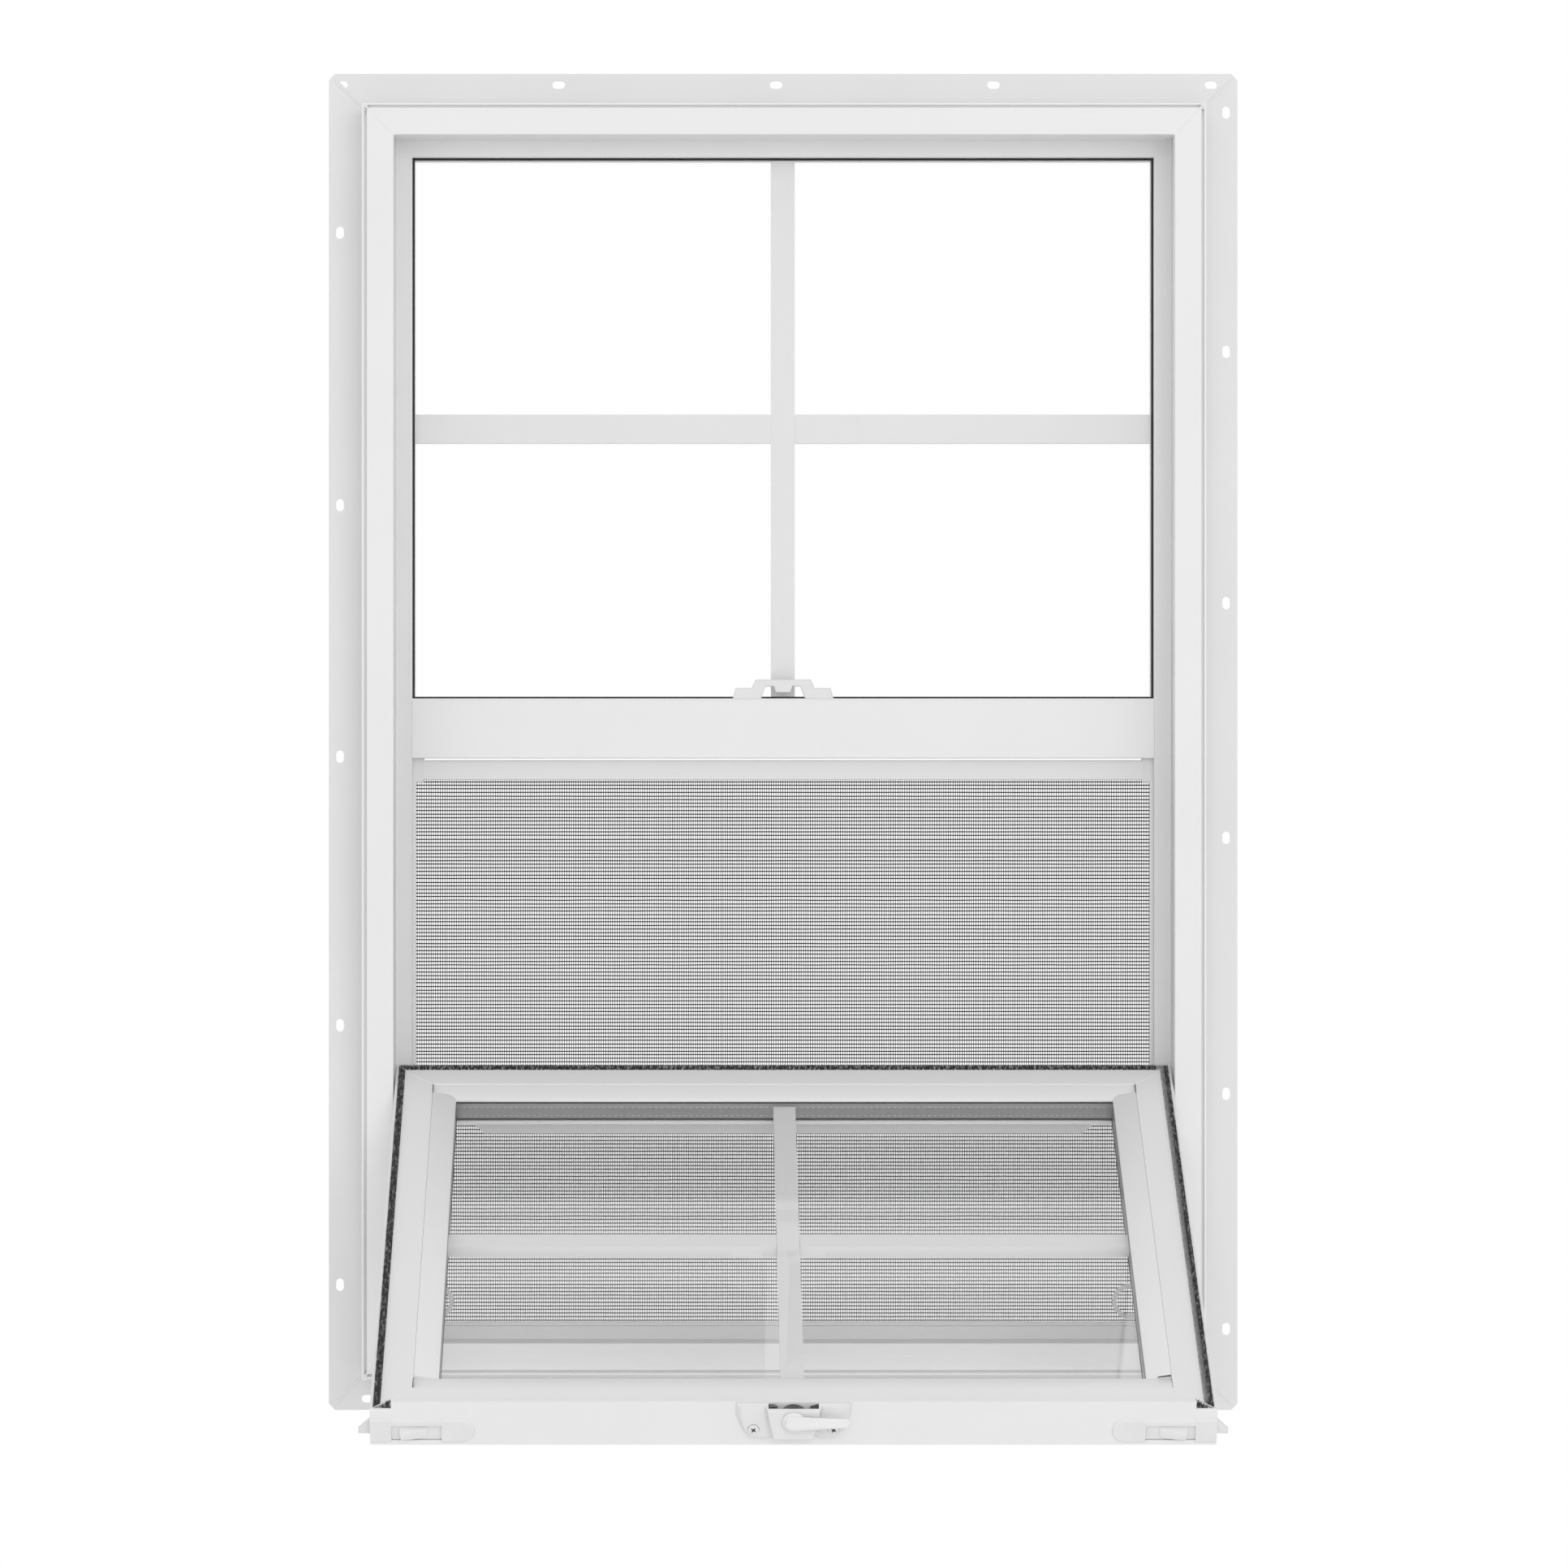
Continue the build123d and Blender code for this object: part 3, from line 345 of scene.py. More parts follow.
def keep_piece(name, shell, finish, body="window", smooth=True):
    """Turns shell into a piece that rides on body. A smooth one keeps its edges over smooth_angle sharp."""
    bmesh.ops.recalc_face_normals(shell, faces=shell.faces)
    mesh = bpy.data.meshes.new(name)
    shell.to_mesh(mesh)
    shell.free()
    for face in mesh.polygons:
        face.use_smooth = smooth
    if smooth:
        mesh.set_sharp_from_angle(angle=smooth_angle)
    mesh.materials.append(finish)
    piece = bpy.data.objects.new(name, mesh)
    scene.collection.objects.link(piece)
    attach(piece, body)
    return piece


def on_mitre(corner, half, depth, step=0.0):
    """A point on a corner's mitre, half across and up, at a depth, and a step towards the glass."""
    side, level_sign = corner
    height = half[1] if level_sign > 0 else 2 * frame_axis - half[1]
    return (side * half[0] - side * step, depth, height - level_sign * step)


shell = bmesh.new()
for corner_number, corner in enumerate([(-1, -1), (-1, 1), (1, -1), (1, 1)], 1):
    side, level_sign = corner
    for depth, outer, outer_step, inner, inner_step, width, height, seed in weld_seams:
        start = on_mitre(corner, outer, depth, outer_step)
        end = on_mitre(corner, inner, depth, inner_step)
        weld_ridge(shell, start, end, room_side, width, height, corner_number + seed)
    groove = on_mitre(corner, frame_half, face_depth + 0.0002, 0.0026)
    flash_curl(shell, groove, (0.0014, 0.0012, 0.0009), corner_number)
    for curl in range(curl_count):
        stray = Vector([
            noise.noise(Vector((corner_number * 3.1 + axis * 7.3, curl * 1.7, 0.5))) for axis in range(3)
        ])
        place = (
            groove[0] + stray.x * 0.0042, groove[1] - abs(stray.y) * 0.0004, groove[2] + stray.z * 0.0042,
        )
        size = (0.0007 + abs(stray.z) * 0.0014, 0.0006, 0.0005 + abs(stray.x) * 0.0014)
        flash_curl(shell, place, size, corner_number * 9 + curl)
    inner = on_mitre(corner, pocket_half, face_depth + 0.0003)
    flash_curl(shell, inner, (0.0008, 0.0006, 0.0009), corner_number + 12)
    behind = (inner[0] + side * 0.0004, inner[1] + 0.002, inner[2] - level_sign * 0.0016)
    flash_curl(shell, behind, (0.0005, 0.0018, 0.0012), corner_number + 16)
    deepest = on_mitre(corner, sight_half, shoulder_depth + 0.0003)
    flash_curl(shell, deepest, (0.0006, 0.0005, 0.0006), corner_number + 20)
keep_piece("frame_welds", shell, vinyl_along)

# Meeting rail: a hollow white vinyl bar across the frame, screwed between the jambs. It holds the
# bottom of the fixed glass, and the raised sash closes against its front wall.
dress(vinyl("vinyl_rail", 0.84, "X", specks=0.985), "meeting_rail")

# Keeper: a die-cast zinc plate on the meeting rail, coated white, with two mouths and a tongue
# between them that the lock's cam draws against.
def coated(name, grey, rough=0.34, turned=0.0):
    """White powder coat on a casting, with a fine orange-peel surface."""
    finish, nodes, links, shader = new_finish(name)
    place = object_place(nodes, links, turned)
    patches = remap(nodes, links, grain(nodes, links, place, 60.0, 3.0), 0.3, 0.7, 0.0, 1.0)
    links.new(blended(nodes, links, patches, grey * 0.975, grey * 1.01), shader.inputs["Base Color"])
    peel = grain(nodes, links, place, 1400.0, 2.0)
    links.new(remap(nodes, links, peel, 0.2, 0.8, rough - 0.05, rough + 0.08), shader.inputs["Roughness"])
    shader.inputs["Coat Weight"].default_value = 0.15
    shader.inputs["Coat Roughness"].default_value = 0.25
    raised(nodes, links, shader, peel, 0.000015, 0.4)
    return finish


dress(coated("white_keeper_coat", 0.78), "keeper")

# Fixed glass: two clear panes with sealed air between them, set against the frame's flange and held
# by vinyl beads from outdoors.
def clear_glass(name):
    """Clear float glass that lets lamps through, with a trace of smear in its gloss."""
    finish, nodes, links, shader = new_finish(name)
    shader.inputs["Base Color"].default_value = (1, 1, 1, 1)
    shader.inputs["Transmission Weight"].default_value = 1.0
    shader.inputs["IOR"].default_value = 1.45
    place = object_place(nodes, links)
    smear = grain(nodes, links, stretched(nodes, links, place, (9.0, 9.0, 3.0)), 1.0, 3.0)
    links.new(remap(nodes, links, smear, 0.55, 0.8, 0.0, 0.02), shader.inputs["Roughness"])
    path = nodes.new("ShaderNodeLightPath").outputs
    open_way = nodes.new("ShaderNodeBsdfTransparent")
    pane = shader.outputs["BSDF"]
    for ray in ("Is Diffuse Ray", "Is Shadow Ray"):
        mix = nodes.new("ShaderNodeMixShader")
        links.new(path[ray], mix.inputs["Fac"])
        links.new(pane, mix.inputs[1])
        links.new(open_way.outputs["BSDF"], mix.inputs[2])
        pane = mix.outputs["Shader"]
    links.new(pane, nodes["Material Output"].inputs["Surface"])
    return finish


dress(clear_glass("float_glass"), "upper_glass", "sash_glass")
dress(vinyl("vinyl_bead", 0.83, "X"), "upper_beads")

# Spacers: roll-formed aluminium channel round the edge of each sealed unit, with two rows of tiny
# slits punched through its inner wall so that the drying beads in it can take up damp.
slit_pitch = 0.0041
slit_size = (0.0015, 0.00055)
slit_lift = 0.00012
air_gap = 0.0127
upper_air = 0.0100
sash_air = 0.0083
gap_x, gap_low, gap_high = 0.26295, 0.4960, 0.8789
air_x, air_low, air_high = 0.2312, 0.0437, 0.4131


def brushed(name, grey, rough, run, turned=0.0):
    """Mill aluminium with fine rolling lines along "X", "Y" or "Z"."""
    finish, nodes, links, shader = new_finish(name)
    place = object_place(nodes, links, turned)
    along = {"X": (30.0, 2400.0, 2400.0), "Y": (2400.0, 30.0, 2400.0), "Z": (2400.0, 2400.0, 30.0)}[run]
    lines = grain(nodes, links, stretched(nodes, links, place, along), 1.0, 3.0)
    links.new(blended(nodes, links, lines, grey * 0.86, grey * 1.1), shader.inputs["Base Color"])
    shader.inputs["Metallic"].default_value = 1.0
    links.new(remap(nodes, links, lines, 0.25, 0.75, rough - 0.08, rough + 0.08), shader.inputs["Roughness"])
    raised(nodes, links, shader, lines, 0.00002)
    return finish


def slit_row(shell, start, end, away, width_way):
    """Adds one row of slits from start to end, on a wall that faces along away."""
    start, end, away, width_way = Vector(start), Vector(end), Vector(away), Vector(width_way)
    run = (end - start).normalized()
    count = int((end - start).length / slit_pitch)
    first = ((end - start).length - (count - 1) * slit_pitch) / 2
    for i in range(count):
        middle = start + run * (first + i * slit_pitch)
        rings = []
        for lift, grow in [(0.0, 1.0), (slit_lift, 0.6)]:
            long, wide = run * slit_size[0] * grow, width_way * slit_size[1] * grow
            corners = [(-0.5, -0.5), (0.5, -0.5), (0.5, 0.5), (-0.5, 0.5)]
            rings.append([middle + long * a + wide * b + away * lift for a, b in corners])
        loft(shell, rings)


def clouded(name, scale, dark, light, rough, detail=2.0, metal=0.0):
    """A plain finish whose grey wanders between dark and light."""
    finish, nodes, links, shader = new_finish(name)
    clouds = grain(nodes, links, object_place(nodes, links), scale, detail)
    links.new(blended(nodes, links, clouds, dark, light), shader.inputs["Base Color"])
    shader.inputs["Roughness"].default_value = rough
    shader.inputs["Metallic"].default_value = metal
    return finish


dress(brushed("spacer_aluminium", 0.42, 0.36, "X"), "upper_spacer", "sash_spacer")
slit_metal = clouded("slit_edges", 700.0, 0.5, 0.72, 0.35)
shell = bmesh.new()
for depth in (upper_air + air_gap * 0.28, upper_air + air_gap * 0.72):
    for x, away in [(-gap_x, 1), (gap_x, -1)]:
        slit_row(shell, (x, depth, gap_low + 0.008), (x, depth, gap_high - 0.008), (away, 0, 0), (0, 1, 0))
    for z, away in [(gap_low, 1), (gap_high, -1)]:
        slit_row(shell, (-gap_x + 0.008, depth, z), (gap_x - 0.008, depth, z), (0, 0, away), (0, 1, 0))
keep_piece("upper_spacer_slits", shell, slit_metal, smooth=False)

sash_foot = Vector((0.0, -0.018110, 0.233567))
sash_up = Vector((0.0, -math.sin(sash_tilt), math.cos(sash_tilt)))
sash_out = Vector((0.0, math.cos(sash_tilt), math.sin(sash_tilt)))


def on_sash(x, height, depth):
    """A point of the tilted sash: across, up from its bottom edge, and indoors from its outdoor face."""
    return sash_foot + Vector((x, 0, 0)) + sash_up * height - sash_out * depth


shell = bmesh.new()
for depth in (sash_air + air_gap * 0.24, sash_air + air_gap * 0.76):
    for x, away in [(-air_x, 1), (air_x, -1)]:
        ends = on_sash(x, air_low + 0.012, depth), on_sash(x, air_high - 0.012, depth)
        slit_row(shell, *ends, (away, 0, 0), sash_out)
    for height, away in [(air_low, 1), (air_high, -1)]:
        ends = on_sash(-air_x + 0.003, height, depth), on_sash(air_x - 0.003, height, depth)
        slit_row(shell, *ends, sash_up * away, sash_out)
keep_piece("sash_spacer_slits", shell, slit_metal, smooth=False)

# Sealant: the thin black line of butyl, laid hot from a nozzle, that shows between the spacer and the
# indoor pane of the sash. It sags a little past the spacer.
butyl_depths = (0.0201, 0.02096)
shell = bmesh.new()
for ends, (in_x, in_height) in [
    (((-air_x, air_low), (air_x, air_low)), (0, 1)),
    (((-air_x, air_high), (air_x, air_high)), (0, -1)),
    (((-air_x, air_low), (-air_x, air_high)), (1, 0)),
    (((air_x, air_low), (air_x, air_high)), (-1, 0)),
]:
    rings = []
    for x, height in ends:
        sag = 0.00035 + 0.0001 * noise.noise(Vector((x * 40, height * 40, 0)))
        far = (x + in_x * sag, height + in_height * sag)
        rings.append(
            [
                on_sash(x, height, butyl_depths[0]), on_sash(*far, butyl_depths[0] + 0.0003),
                on_sash(*far, butyl_depths[1]), on_sash(x, height, butyl_depths[1]),
            ]
        )
    loft(shell, rings)
butyl = clouded("black_butyl", 400.0, 0.01, 0.06, 0.5, detail=3.0)
keep_piece("sash_sealant", shell, butyl, smooth=False)

# Glazing bars: flat roll-formed aluminium tubes in the air gap, painted white, the cross bar in two
# lengths notched against the upright.
def painted(name, grey, rough=0.4, turned=0.0):
    """Baked white paint on thin aluminium, with faint rolling marks."""
    finish, nodes, links, shader = new_finish(name)
    place = object_place(nodes, links, turned)
    marks = grain(nodes, links, stretched(nodes, links, place, (300.0, 300.0, 12.0)), 1.0, 2.0)
    clouds = grain(nodes, links, place, 18.0, 3.0)
    links.new(blended(nodes, links, clouds, grey * 0.97, grey * 1.01), shader.inputs["Base Color"])
    links.new(remap(nodes, links, marks, 0.3, 0.7, rough - 0.06, rough + 0.06), shader.inputs["Roughness"])
    raised(nodes, links, shader, marks, 0.00003)
    return finish


dress(painted("white_bar_paint", 0.78), "upper_grille", "sash_grille")

# Insect screen frame: roll-formed aluminium bars painted white, plugged together with moulded corner
# keys, standing in the frame between the shoulder and the stops.
dress(painted("white_screen_paint", 0.78), "screen_top_bar", "screen_side_bars")
# Painted light: the bottom bar's paint is lighter than the other bars' to offset the shade it stands in.
dress(painted("bottom_bar_painted_light", 0.86), "screen_bottom_bar")
dress(coated("moulded_key", 0.74, 0.45), "screen_corner_keys")
dress(vinyl_upright, "screen_stops")

# Insect screen cloth: charcoal vinyl-coated glass yarns in a plain open weave, the cross yarns wider
# apart and a little uneven, rolled into the bars all round. It takes the place of the plain grid.
mesh_low, mesh_high = (Vector(corner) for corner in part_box("screen_mesh"))
mesh_depth = (mesh_low.y + mesh_high.y) / 2
warp_pitch = 0.00164
weft_pitch = 0.00256
warp_radius = 0.00025
weft_radius = 0.00045
yarn_wave = 0.00021
yarn_sides = 3
loose = np.random.default_rng(41)
warp_count = int((mesh_high.x - mesh_low.x) / warp_pitch)
weft_count = int((mesh_high.z - mesh_low.z) / weft_pitch)
warp_x = mesh_low.x + (np.arange(warp_count) + 0.5) * (mesh_high.x - mesh_low.x) / warp_count
weft_z = mesh_low.z + (np.arange(weft_count) + 0.5) * (mesh_high.z - mesh_low.z) / weft_count
warp_x = warp_x + loose.normal(0, 0.00003, warp_count)
weft_z = weft_z + loose.normal(0, 0.00009, weft_count)


def slow_wander(count, places, size, spans):
    """A slow sideways drift for each yarn, made of a few long waves."""
    drift = np.zeros((count, len(places)))
    for span in spans:
        phase = loose.uniform(0, 2 * np.pi, (count, 1))
        weight = loose.normal(0, size, (count, 1))
        drift += weight * np.sin(2 * np.pi * places[None, :] / span + phase)
    return drift


def yarns(name, lines, side_ways, radius, finish):
    """A piece of many thin yarns. lines holds each yarn's points, side_ways the axis across all of them."""
    count, length, _ = lines.shape
    turn = np.arange(yarn_sides) * 2 * np.pi / yarn_sides
    across = np.array(side_ways, float)
    front = np.array((0.0, -1.0, 0.0))
    rim = (np.cos(turn)[:, None] * front + np.sin(turn)[:, None] * across) * radius
    points = (lines[:, :, None, :] + rim[None, None, :, :]).reshape(-1, 3)
    index = np.arange(count * length * yarn_sides).reshape(count, length, yarn_sides)
    near, far = index[:, :-1], index[:, 1:]
    quads = np.stack([near, np.roll(near, -1, 2), np.roll(far, -1, 2), far], -1).reshape(-1, 4)
    mesh = bpy.data.meshes.new(name)
    mesh.vertices.add(len(points))
    mesh.vertices.foreach_set("co", points.ravel())
    mesh.loops.add(quads.size)
    mesh.loops.foreach_set("vertex_index", quads.ravel())
    mesh.polygons.add(len(quads))
    mesh.polygons.foreach_set("loop_start", np.arange(len(quads)) * 4)
    mesh.polygons.foreach_set("use_smooth", np.ones(len(quads), bool))
    mesh.update()
    mesh.validate()
    mesh.materials.append(finish)
    piece = bpy.data.objects.new(name, mesh)
    scene.collection.objects.link(piece)
    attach(piece, "window")
    return piece


yarn_finish, nodes, links, shader = new_finish("charcoal_yarn")
place = object_place(nodes, links)
tone = grain(nodes, links, place, 900.0)
links.new(blended(nodes, links, tone, 0.003, 0.014), shader.inputs["Base Color"])
nap = grain(nodes, links, place, 2500.0)
links.new(remap(nodes, links, nap, 0.2, 0.8, 0.55, 0.8), shader.inputs["Roughness"])
shader.inputs["Specular IOR Level"].default_value = 0.12

weft_at = np.concatenate([[mesh_low.z], weft_z, [mesh_high.z]])
warp_at = np.concatenate([[mesh_low.x], warp_x, [mesh_high.x]])
turns = (np.arange(len(warp_at))[:, None] + np.arange(len(weft_at))[None, :]) % 2 * 2 - 1
warp_drift = slow_wander(warp_count, weft_at, 0.00002, (0.05, 0.16))
warp_lines = np.stack(
    [
        warp_x[:, None] + warp_drift,
        mesh_depth + yarn_wave * turns[1:-1],
        np.broadcast_to(weft_at, warp_drift.shape),
    ],
    -1,
)
weft_drift = slow_wander(weft_count, warp_at, 0.00003, (0.047, 0.13))
weft_lines = np.stack(
    [
        np.broadcast_to(warp_at, weft_drift.shape),
        mesh_depth - yarn_wave * turns.T[1:-1],
        weft_z[:, None] + weft_drift,
    ],
    -1,
)
half_warp = warp_count // 2
half_weft = weft_count // 2
warp_left = yarns("screen_warp_left", warp_lines[:half_warp], (1, 0, 0), warp_radius, yarn_finish)
yarns("screen_warp_right", warp_lines[half_warp:], (1, 0, 0), warp_radius, yarn_finish)
yarns("screen_weft_lower", weft_lines[:half_weft], (0, 0, 1), weft_radius, yarn_finish)
yarns("screen_weft_upper", weft_lines[half_weft:], (0, 0, 1), weft_radius, yarn_finish)
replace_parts(warp_left, "screen_mesh")

# Pull tabs: two moulded loops clipped into the bottom of the screen, by which it is lifted out.
dress(coated("moulded_tab", 0.66, 0.42), "screen_pull_tabs")

# Sash: four lengths of extruded white vinyl, mitred and welded, tilted into the room for cleaning.
# The top rail carries the interlock fin, and the bottom rail the lift rail on its indoor side.
sash_white = 0.848
sash_along = vinyl("sash_vinyl_along", sash_white, "X", -sash_tilt)
sash_upright = vinyl("sash_vinyl_upright", sash_white, "Z", -sash_tilt)
dress(sash_along, "sash_bottom_rail", "sash_top_rail", "sash_interlock", "sash_bead_bottom", "sash_bead_top")
dress(vinyl("lift_vinyl", 0.75, "X", -sash_tilt), "sash_lift")
dress(sash_upright, "sash_left_stile", "sash_right_stile", "sash_bead_left", "sash_bead_right")

# Corner welds of the sash: finer beads than the frame's, pared down on the outdoor face.
sash_half = 0.2749
sash_height = 0.4568
sash_face = 0.0270
shell = bmesh.new()
for side in (-1, 1):
    for foot, way in [(0.0, 1), (sash_height, -1)]:
        seam_number = 30 + side * 3 + way
        weld_ridge(
            shell, on_sash(side * (sash_half - 0.0012), foot + way * 0.0012, 0.0),
            on_sash(side * (sash_half - sash_face), foot + way * sash_face, 0.0),
            sash_out, 0.0012, 0.00034, seam_number,
        )
keep_piece("sash_welds", shell, sash_along)

# Sash beads: four lengths of extruded vinyl clipped over the edge of the sealed unit. The end beads run
# right across, and the side beads are cut square between them, lapping the far one.
bead_section = [
    (0.0270, 0.0052), (0.0270, 0.00095), (0.02735, 0.0006), (0.0426, 0.0031), (0.0435, 0.00355),
    (0.0437, 0.0052),
]
bead_gap = 0.0001
bead_round = 0.00025
side_bead_lap = 0.0380
side_bead_bite = 0.0003
side_bead_proud = 0.00022


def soft_edges(shell, width, segments=2):
    """Rounds every sharp edge of shell by width."""
    bmesh.ops.recalc_face_normals(shell, faces=shell.faces)
    sharp = [edge for edge in shell.edges if len(edge.link_faces) == 2 and edge.calc_face_angle() > 0.5]
    bmesh.ops.bevel(
        shell, geom=sharp, offset=width, segments=segments, affect="EDGES", profile=0.5, clamp_overlap=True
    )


def keep_bead(place, shell, finish):
    """Softens a bead's edges and puts it in place of the CAD bead."""
    soft_edges(shell, bead_round)
    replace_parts(keep_piece("bead_" + place, shell, finish), "sash_bead_" + place)


for place, foot, way in [("bottom", 0.0, 1), ("top", sash_height, -1)]:
    shell = bmesh.new()
    ends = (-sash_half + sash_face + bead_gap, sash_half - sash_face - bead_gap)
    loft(shell, [[on_sash(x, foot + way * inset, depth) for inset, depth in bead_section] for x in ends])
    keep_bead(place, shell, sash_along)
for place, side in [("left", -1), ("right", 1)]:
    shell = bmesh.new()
    section = [(side * (sash_half - inset), depth - side_bead_proud) for inset, depth in bead_section]
    rings = []
    for height in (side_bead_lap, sash_height - bead_section[-1][0] + side_bead_bite):
        rings.append([on_sash(x, height, depth) for x, depth in section])
    loft(shell, rings)
    keep_bead(place, shell, sash_upright)

# Bead joints: the hairline shadow that stays open at each end of the side beads, between the bead and
# the sash's face, where the clipped-in bead springs back.
joint_length = 0.0115
joint_width = 0.00055
joint_depths = (0.0012, -0.00004)
joint_finish = clouded("joint_shadow", 900.0, 0.03, 0.10, 0.8)
shell = bmesh.new()
for side in (-1, 1):
    for low in (sash_face + 0.0003, sash_height - sash_face - 0.0003 - joint_length):
        if side > 0 and low > sash_height / 2:
            continue
        foot_x = side * (sash_half - sash_face)
        rings = []
        for depth in joint_depths:
            ring = []
            for x, height in [(-0.5, 0), (0.5, 0), (0.5, 1), (-0.5, 1)]:
                thin = 1.0 if (height == 0) == (low < sash_height / 2) else 0.35
                ring.append(on_sash(foot_x + x * joint_width * thin, low + height * joint_length, depth))
            rings.append(ring)
        loft(shell, rings)
gap = [
    (0.2390, 0.4136, 0.0018), (0.2474, 0.4135, 0.0004), (0.2474, 0.4141, 0.0004), (0.2430, 0.4139, 0.0011),
]
loft(shell, [[on_sash(x, height, depth + sink) for x, height, depth in gap] for sink in (0.0008, -0.00005)])
keep_piece("sash_bead_joints", shell, joint_finish, smooth=False)

# Pile weatherstrips: a woven backing slid into the sash's groove with dense grey polypropylene pile
# standing out of it, mitred at the corners. They take the place of the plain strips.
pile_base_depths = (0.0011, 0.0004)
pile_foot = 0.0005
pile_inset = 0.0020
pile_width = 0.0047
pile_reach = 0.0034
tuft_pitch = 0.00052
tuft_spacing = 0.00074
tuft_radius = 0.00036
edge_gap = 0.00025
tufts = np.random.default_rng(77)

pile_finish, nodes, links, shader = new_finish("grey_pile")
place = object_place(nodes, links, -sash_tilt)
strands = grain(nodes, links, stretched(nodes, links, place, (900.0, 300.0, 900.0)), 1.0, 3.0)
dark_pile = blended(nodes, links, remap(nodes, links, strands, 0.35, 0.65, 0.0, 1.0), 0.004, 0.06)
tangle = grain(nodes, links, stretched(nodes, links, place, (620.0, 620.0, 210.0)), 1.0, 4.0)
glints = remap(nodes, links, tangle, 0.52, 0.62, 0.0, 1.0)
mottled = blended(nodes, links, glints, dark_pile, 0.46)
across = nodes.new("ShaderNodeSeparateXYZ")
links.new(place, across.inputs["Vector"])
fuzz = remap(nodes, links, across.outputs["X"], 0.2690, 0.2700, 1.0, 0.0)
fuzz_end = (sash_foot + sash_up * (sash_height - 0.0085)).dot(sash_up)
right_side = reckon(nodes, links, "GREATER_THAN", across.outputs["X"], 0.2640)
pale = reckon(nodes, links, "MULTIPLY", fuzz, right_side)
below_end = remap(nodes, links, across.outputs["Z"], fuzz_end, fuzz_end + 0.0005, 1.0, 0.0)
pale_side = reckon(nodes, links, "MULTIPLY", pale, below_end)
grey_fuzz = blended(nodes, links, remap(nodes, links, strands, 0.35, 0.65, 0.0, 1.0), 0.25, 0.60)
links.new(blended(nodes, links, pale_side, mottled, grey_fuzz), shader.inputs["Base Color"])
shader.inputs["Roughness"].default_value = 0.75
shader.inputs["Sheen Weight"].default_value = 0.25
raised(nodes, links, shader, strands, 0.0002)


def stands(outline, along, across):
    """Whether a tuft stands inside a convex outline, clear of its edges."""
    sides = []
    for (a, b), (c, d) in zip(outline, outline[1:] + outline[:1]):
        sides.append(((c - a) * (across - b) - (d - b) * (along - a)) / math.hypot(c - a, d - b))
    return min(sides) > edge_gap or max(sides) < -edge_gap


def pile_strip(name, start, run, inner, outline, replaced=None):
    """A patch of pile on the sash. Its outline runs (along run, towards inner) from start."""
    start, run, inner = Vector(start), Vector(run), Vector(inner)
    shell = bmesh.new()
    rings = []
    for depth in pile_base_depths:
        rings.append([start + run * along + inner * across - sash_out * depth for along, across in outline])
    loft(shell, rings)
    length = max(along for along, across in outline)
    width = max(across for along, across in outline)
    rows = int(width / tuft_spacing)
    for row in range(rows):
        for step in range(int(length / tuft_pitch)):
            shift, lean_run, lean_side, tall = tufts.normal(0, 1, 4)
            share = (row + 0.6) / (rows + 0.2)
            along = (step + 0.5) * tuft_pitch + shift * 0.00012
            if not stands(outline, along, width * share):
                continue
            foot = start + run * along + inner * width * share - sash_out * pile_foot
            edge = abs(share - 0.5)
            rise = pile_reach * (0.96 - 0.40 * edge + 0.05 * max(min(tall, 1), -1))
            tip = foot + sash_out * rise + run * lean_run * 0.0004 + inner * lean_side * 0.00022
            rim = []
            for turn in (0.3, 2.4, 4.5):
                spoke = run * math.cos(turn) + inner * math.sin(turn)
                rim.append(shell.verts.new(foot + spoke * tuft_radius))
            peak = shell.verts.new(tip)
            for k in range(3):
                shell.faces.new((rim[k], rim[(k + 1) % 3], peak))
            shell.faces.new(rim[::-1])
    piece = keep_piece(name, shell, pile_finish)
    if replaced:
        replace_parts(piece, replaced)


def between_mitres(length, width):
    """The outline of a strip cut at 45 degrees at both ends."""
    return [(0, 0), (length, 0), (length - width, width), (width, width)]


interlock_half = 0.2613
strip_out = sash_half - pile_inset
side_run = sash_height - 2 * pile_inset
left_foot = on_sash(-strip_out, pile_inset, 0)
right_foot = on_sash(strip_out, pile_inset, 0)
side_outline = between_mitres(side_run, pile_width)
wide_outline = between_mitres(side_run, 0.0064)
pile_strip("pile_left", left_foot, sash_up, (1, 0, 0), side_outline, "sash_side_piles")
pile_strip("pile_right", right_foot, sash_up, (-1, 0, 0), wide_outline)
foot_outline = between_mitres(2 * strip_out, pile_width)
pile_strip("pile_bottom", left_foot, (1, 0, 0), sash_up, foot_outline, "sash_bottom_pile")
end_patch = [(0, 0), (0.0078, 0), (0, 0.0086)]
for side, name, replaced in [(-1, "pile_top_left", "sash_top_piles"), (1, "pile_top_right", None)]:
    start = on_sash(side * interlock_half, sash_height - 0.0026, 0)
    pile_strip(name, start, (side, 0, 0), sash_up * -1, end_patch[::-side], replaced)

# Balance shoes, balances and pivot bars: moulded shoes that run in the jamb channels, the folded steel
# channels of the balances above them, and the sash's zinc-plated pivot bars, which turn in the shoes.
dress(coated("moulded_shoe", 0.70, 0.5), "balance_shoes")
dress(brushed("plated_steel", 0.56, 0.32, "Z"), "pivot_bars", "balances")

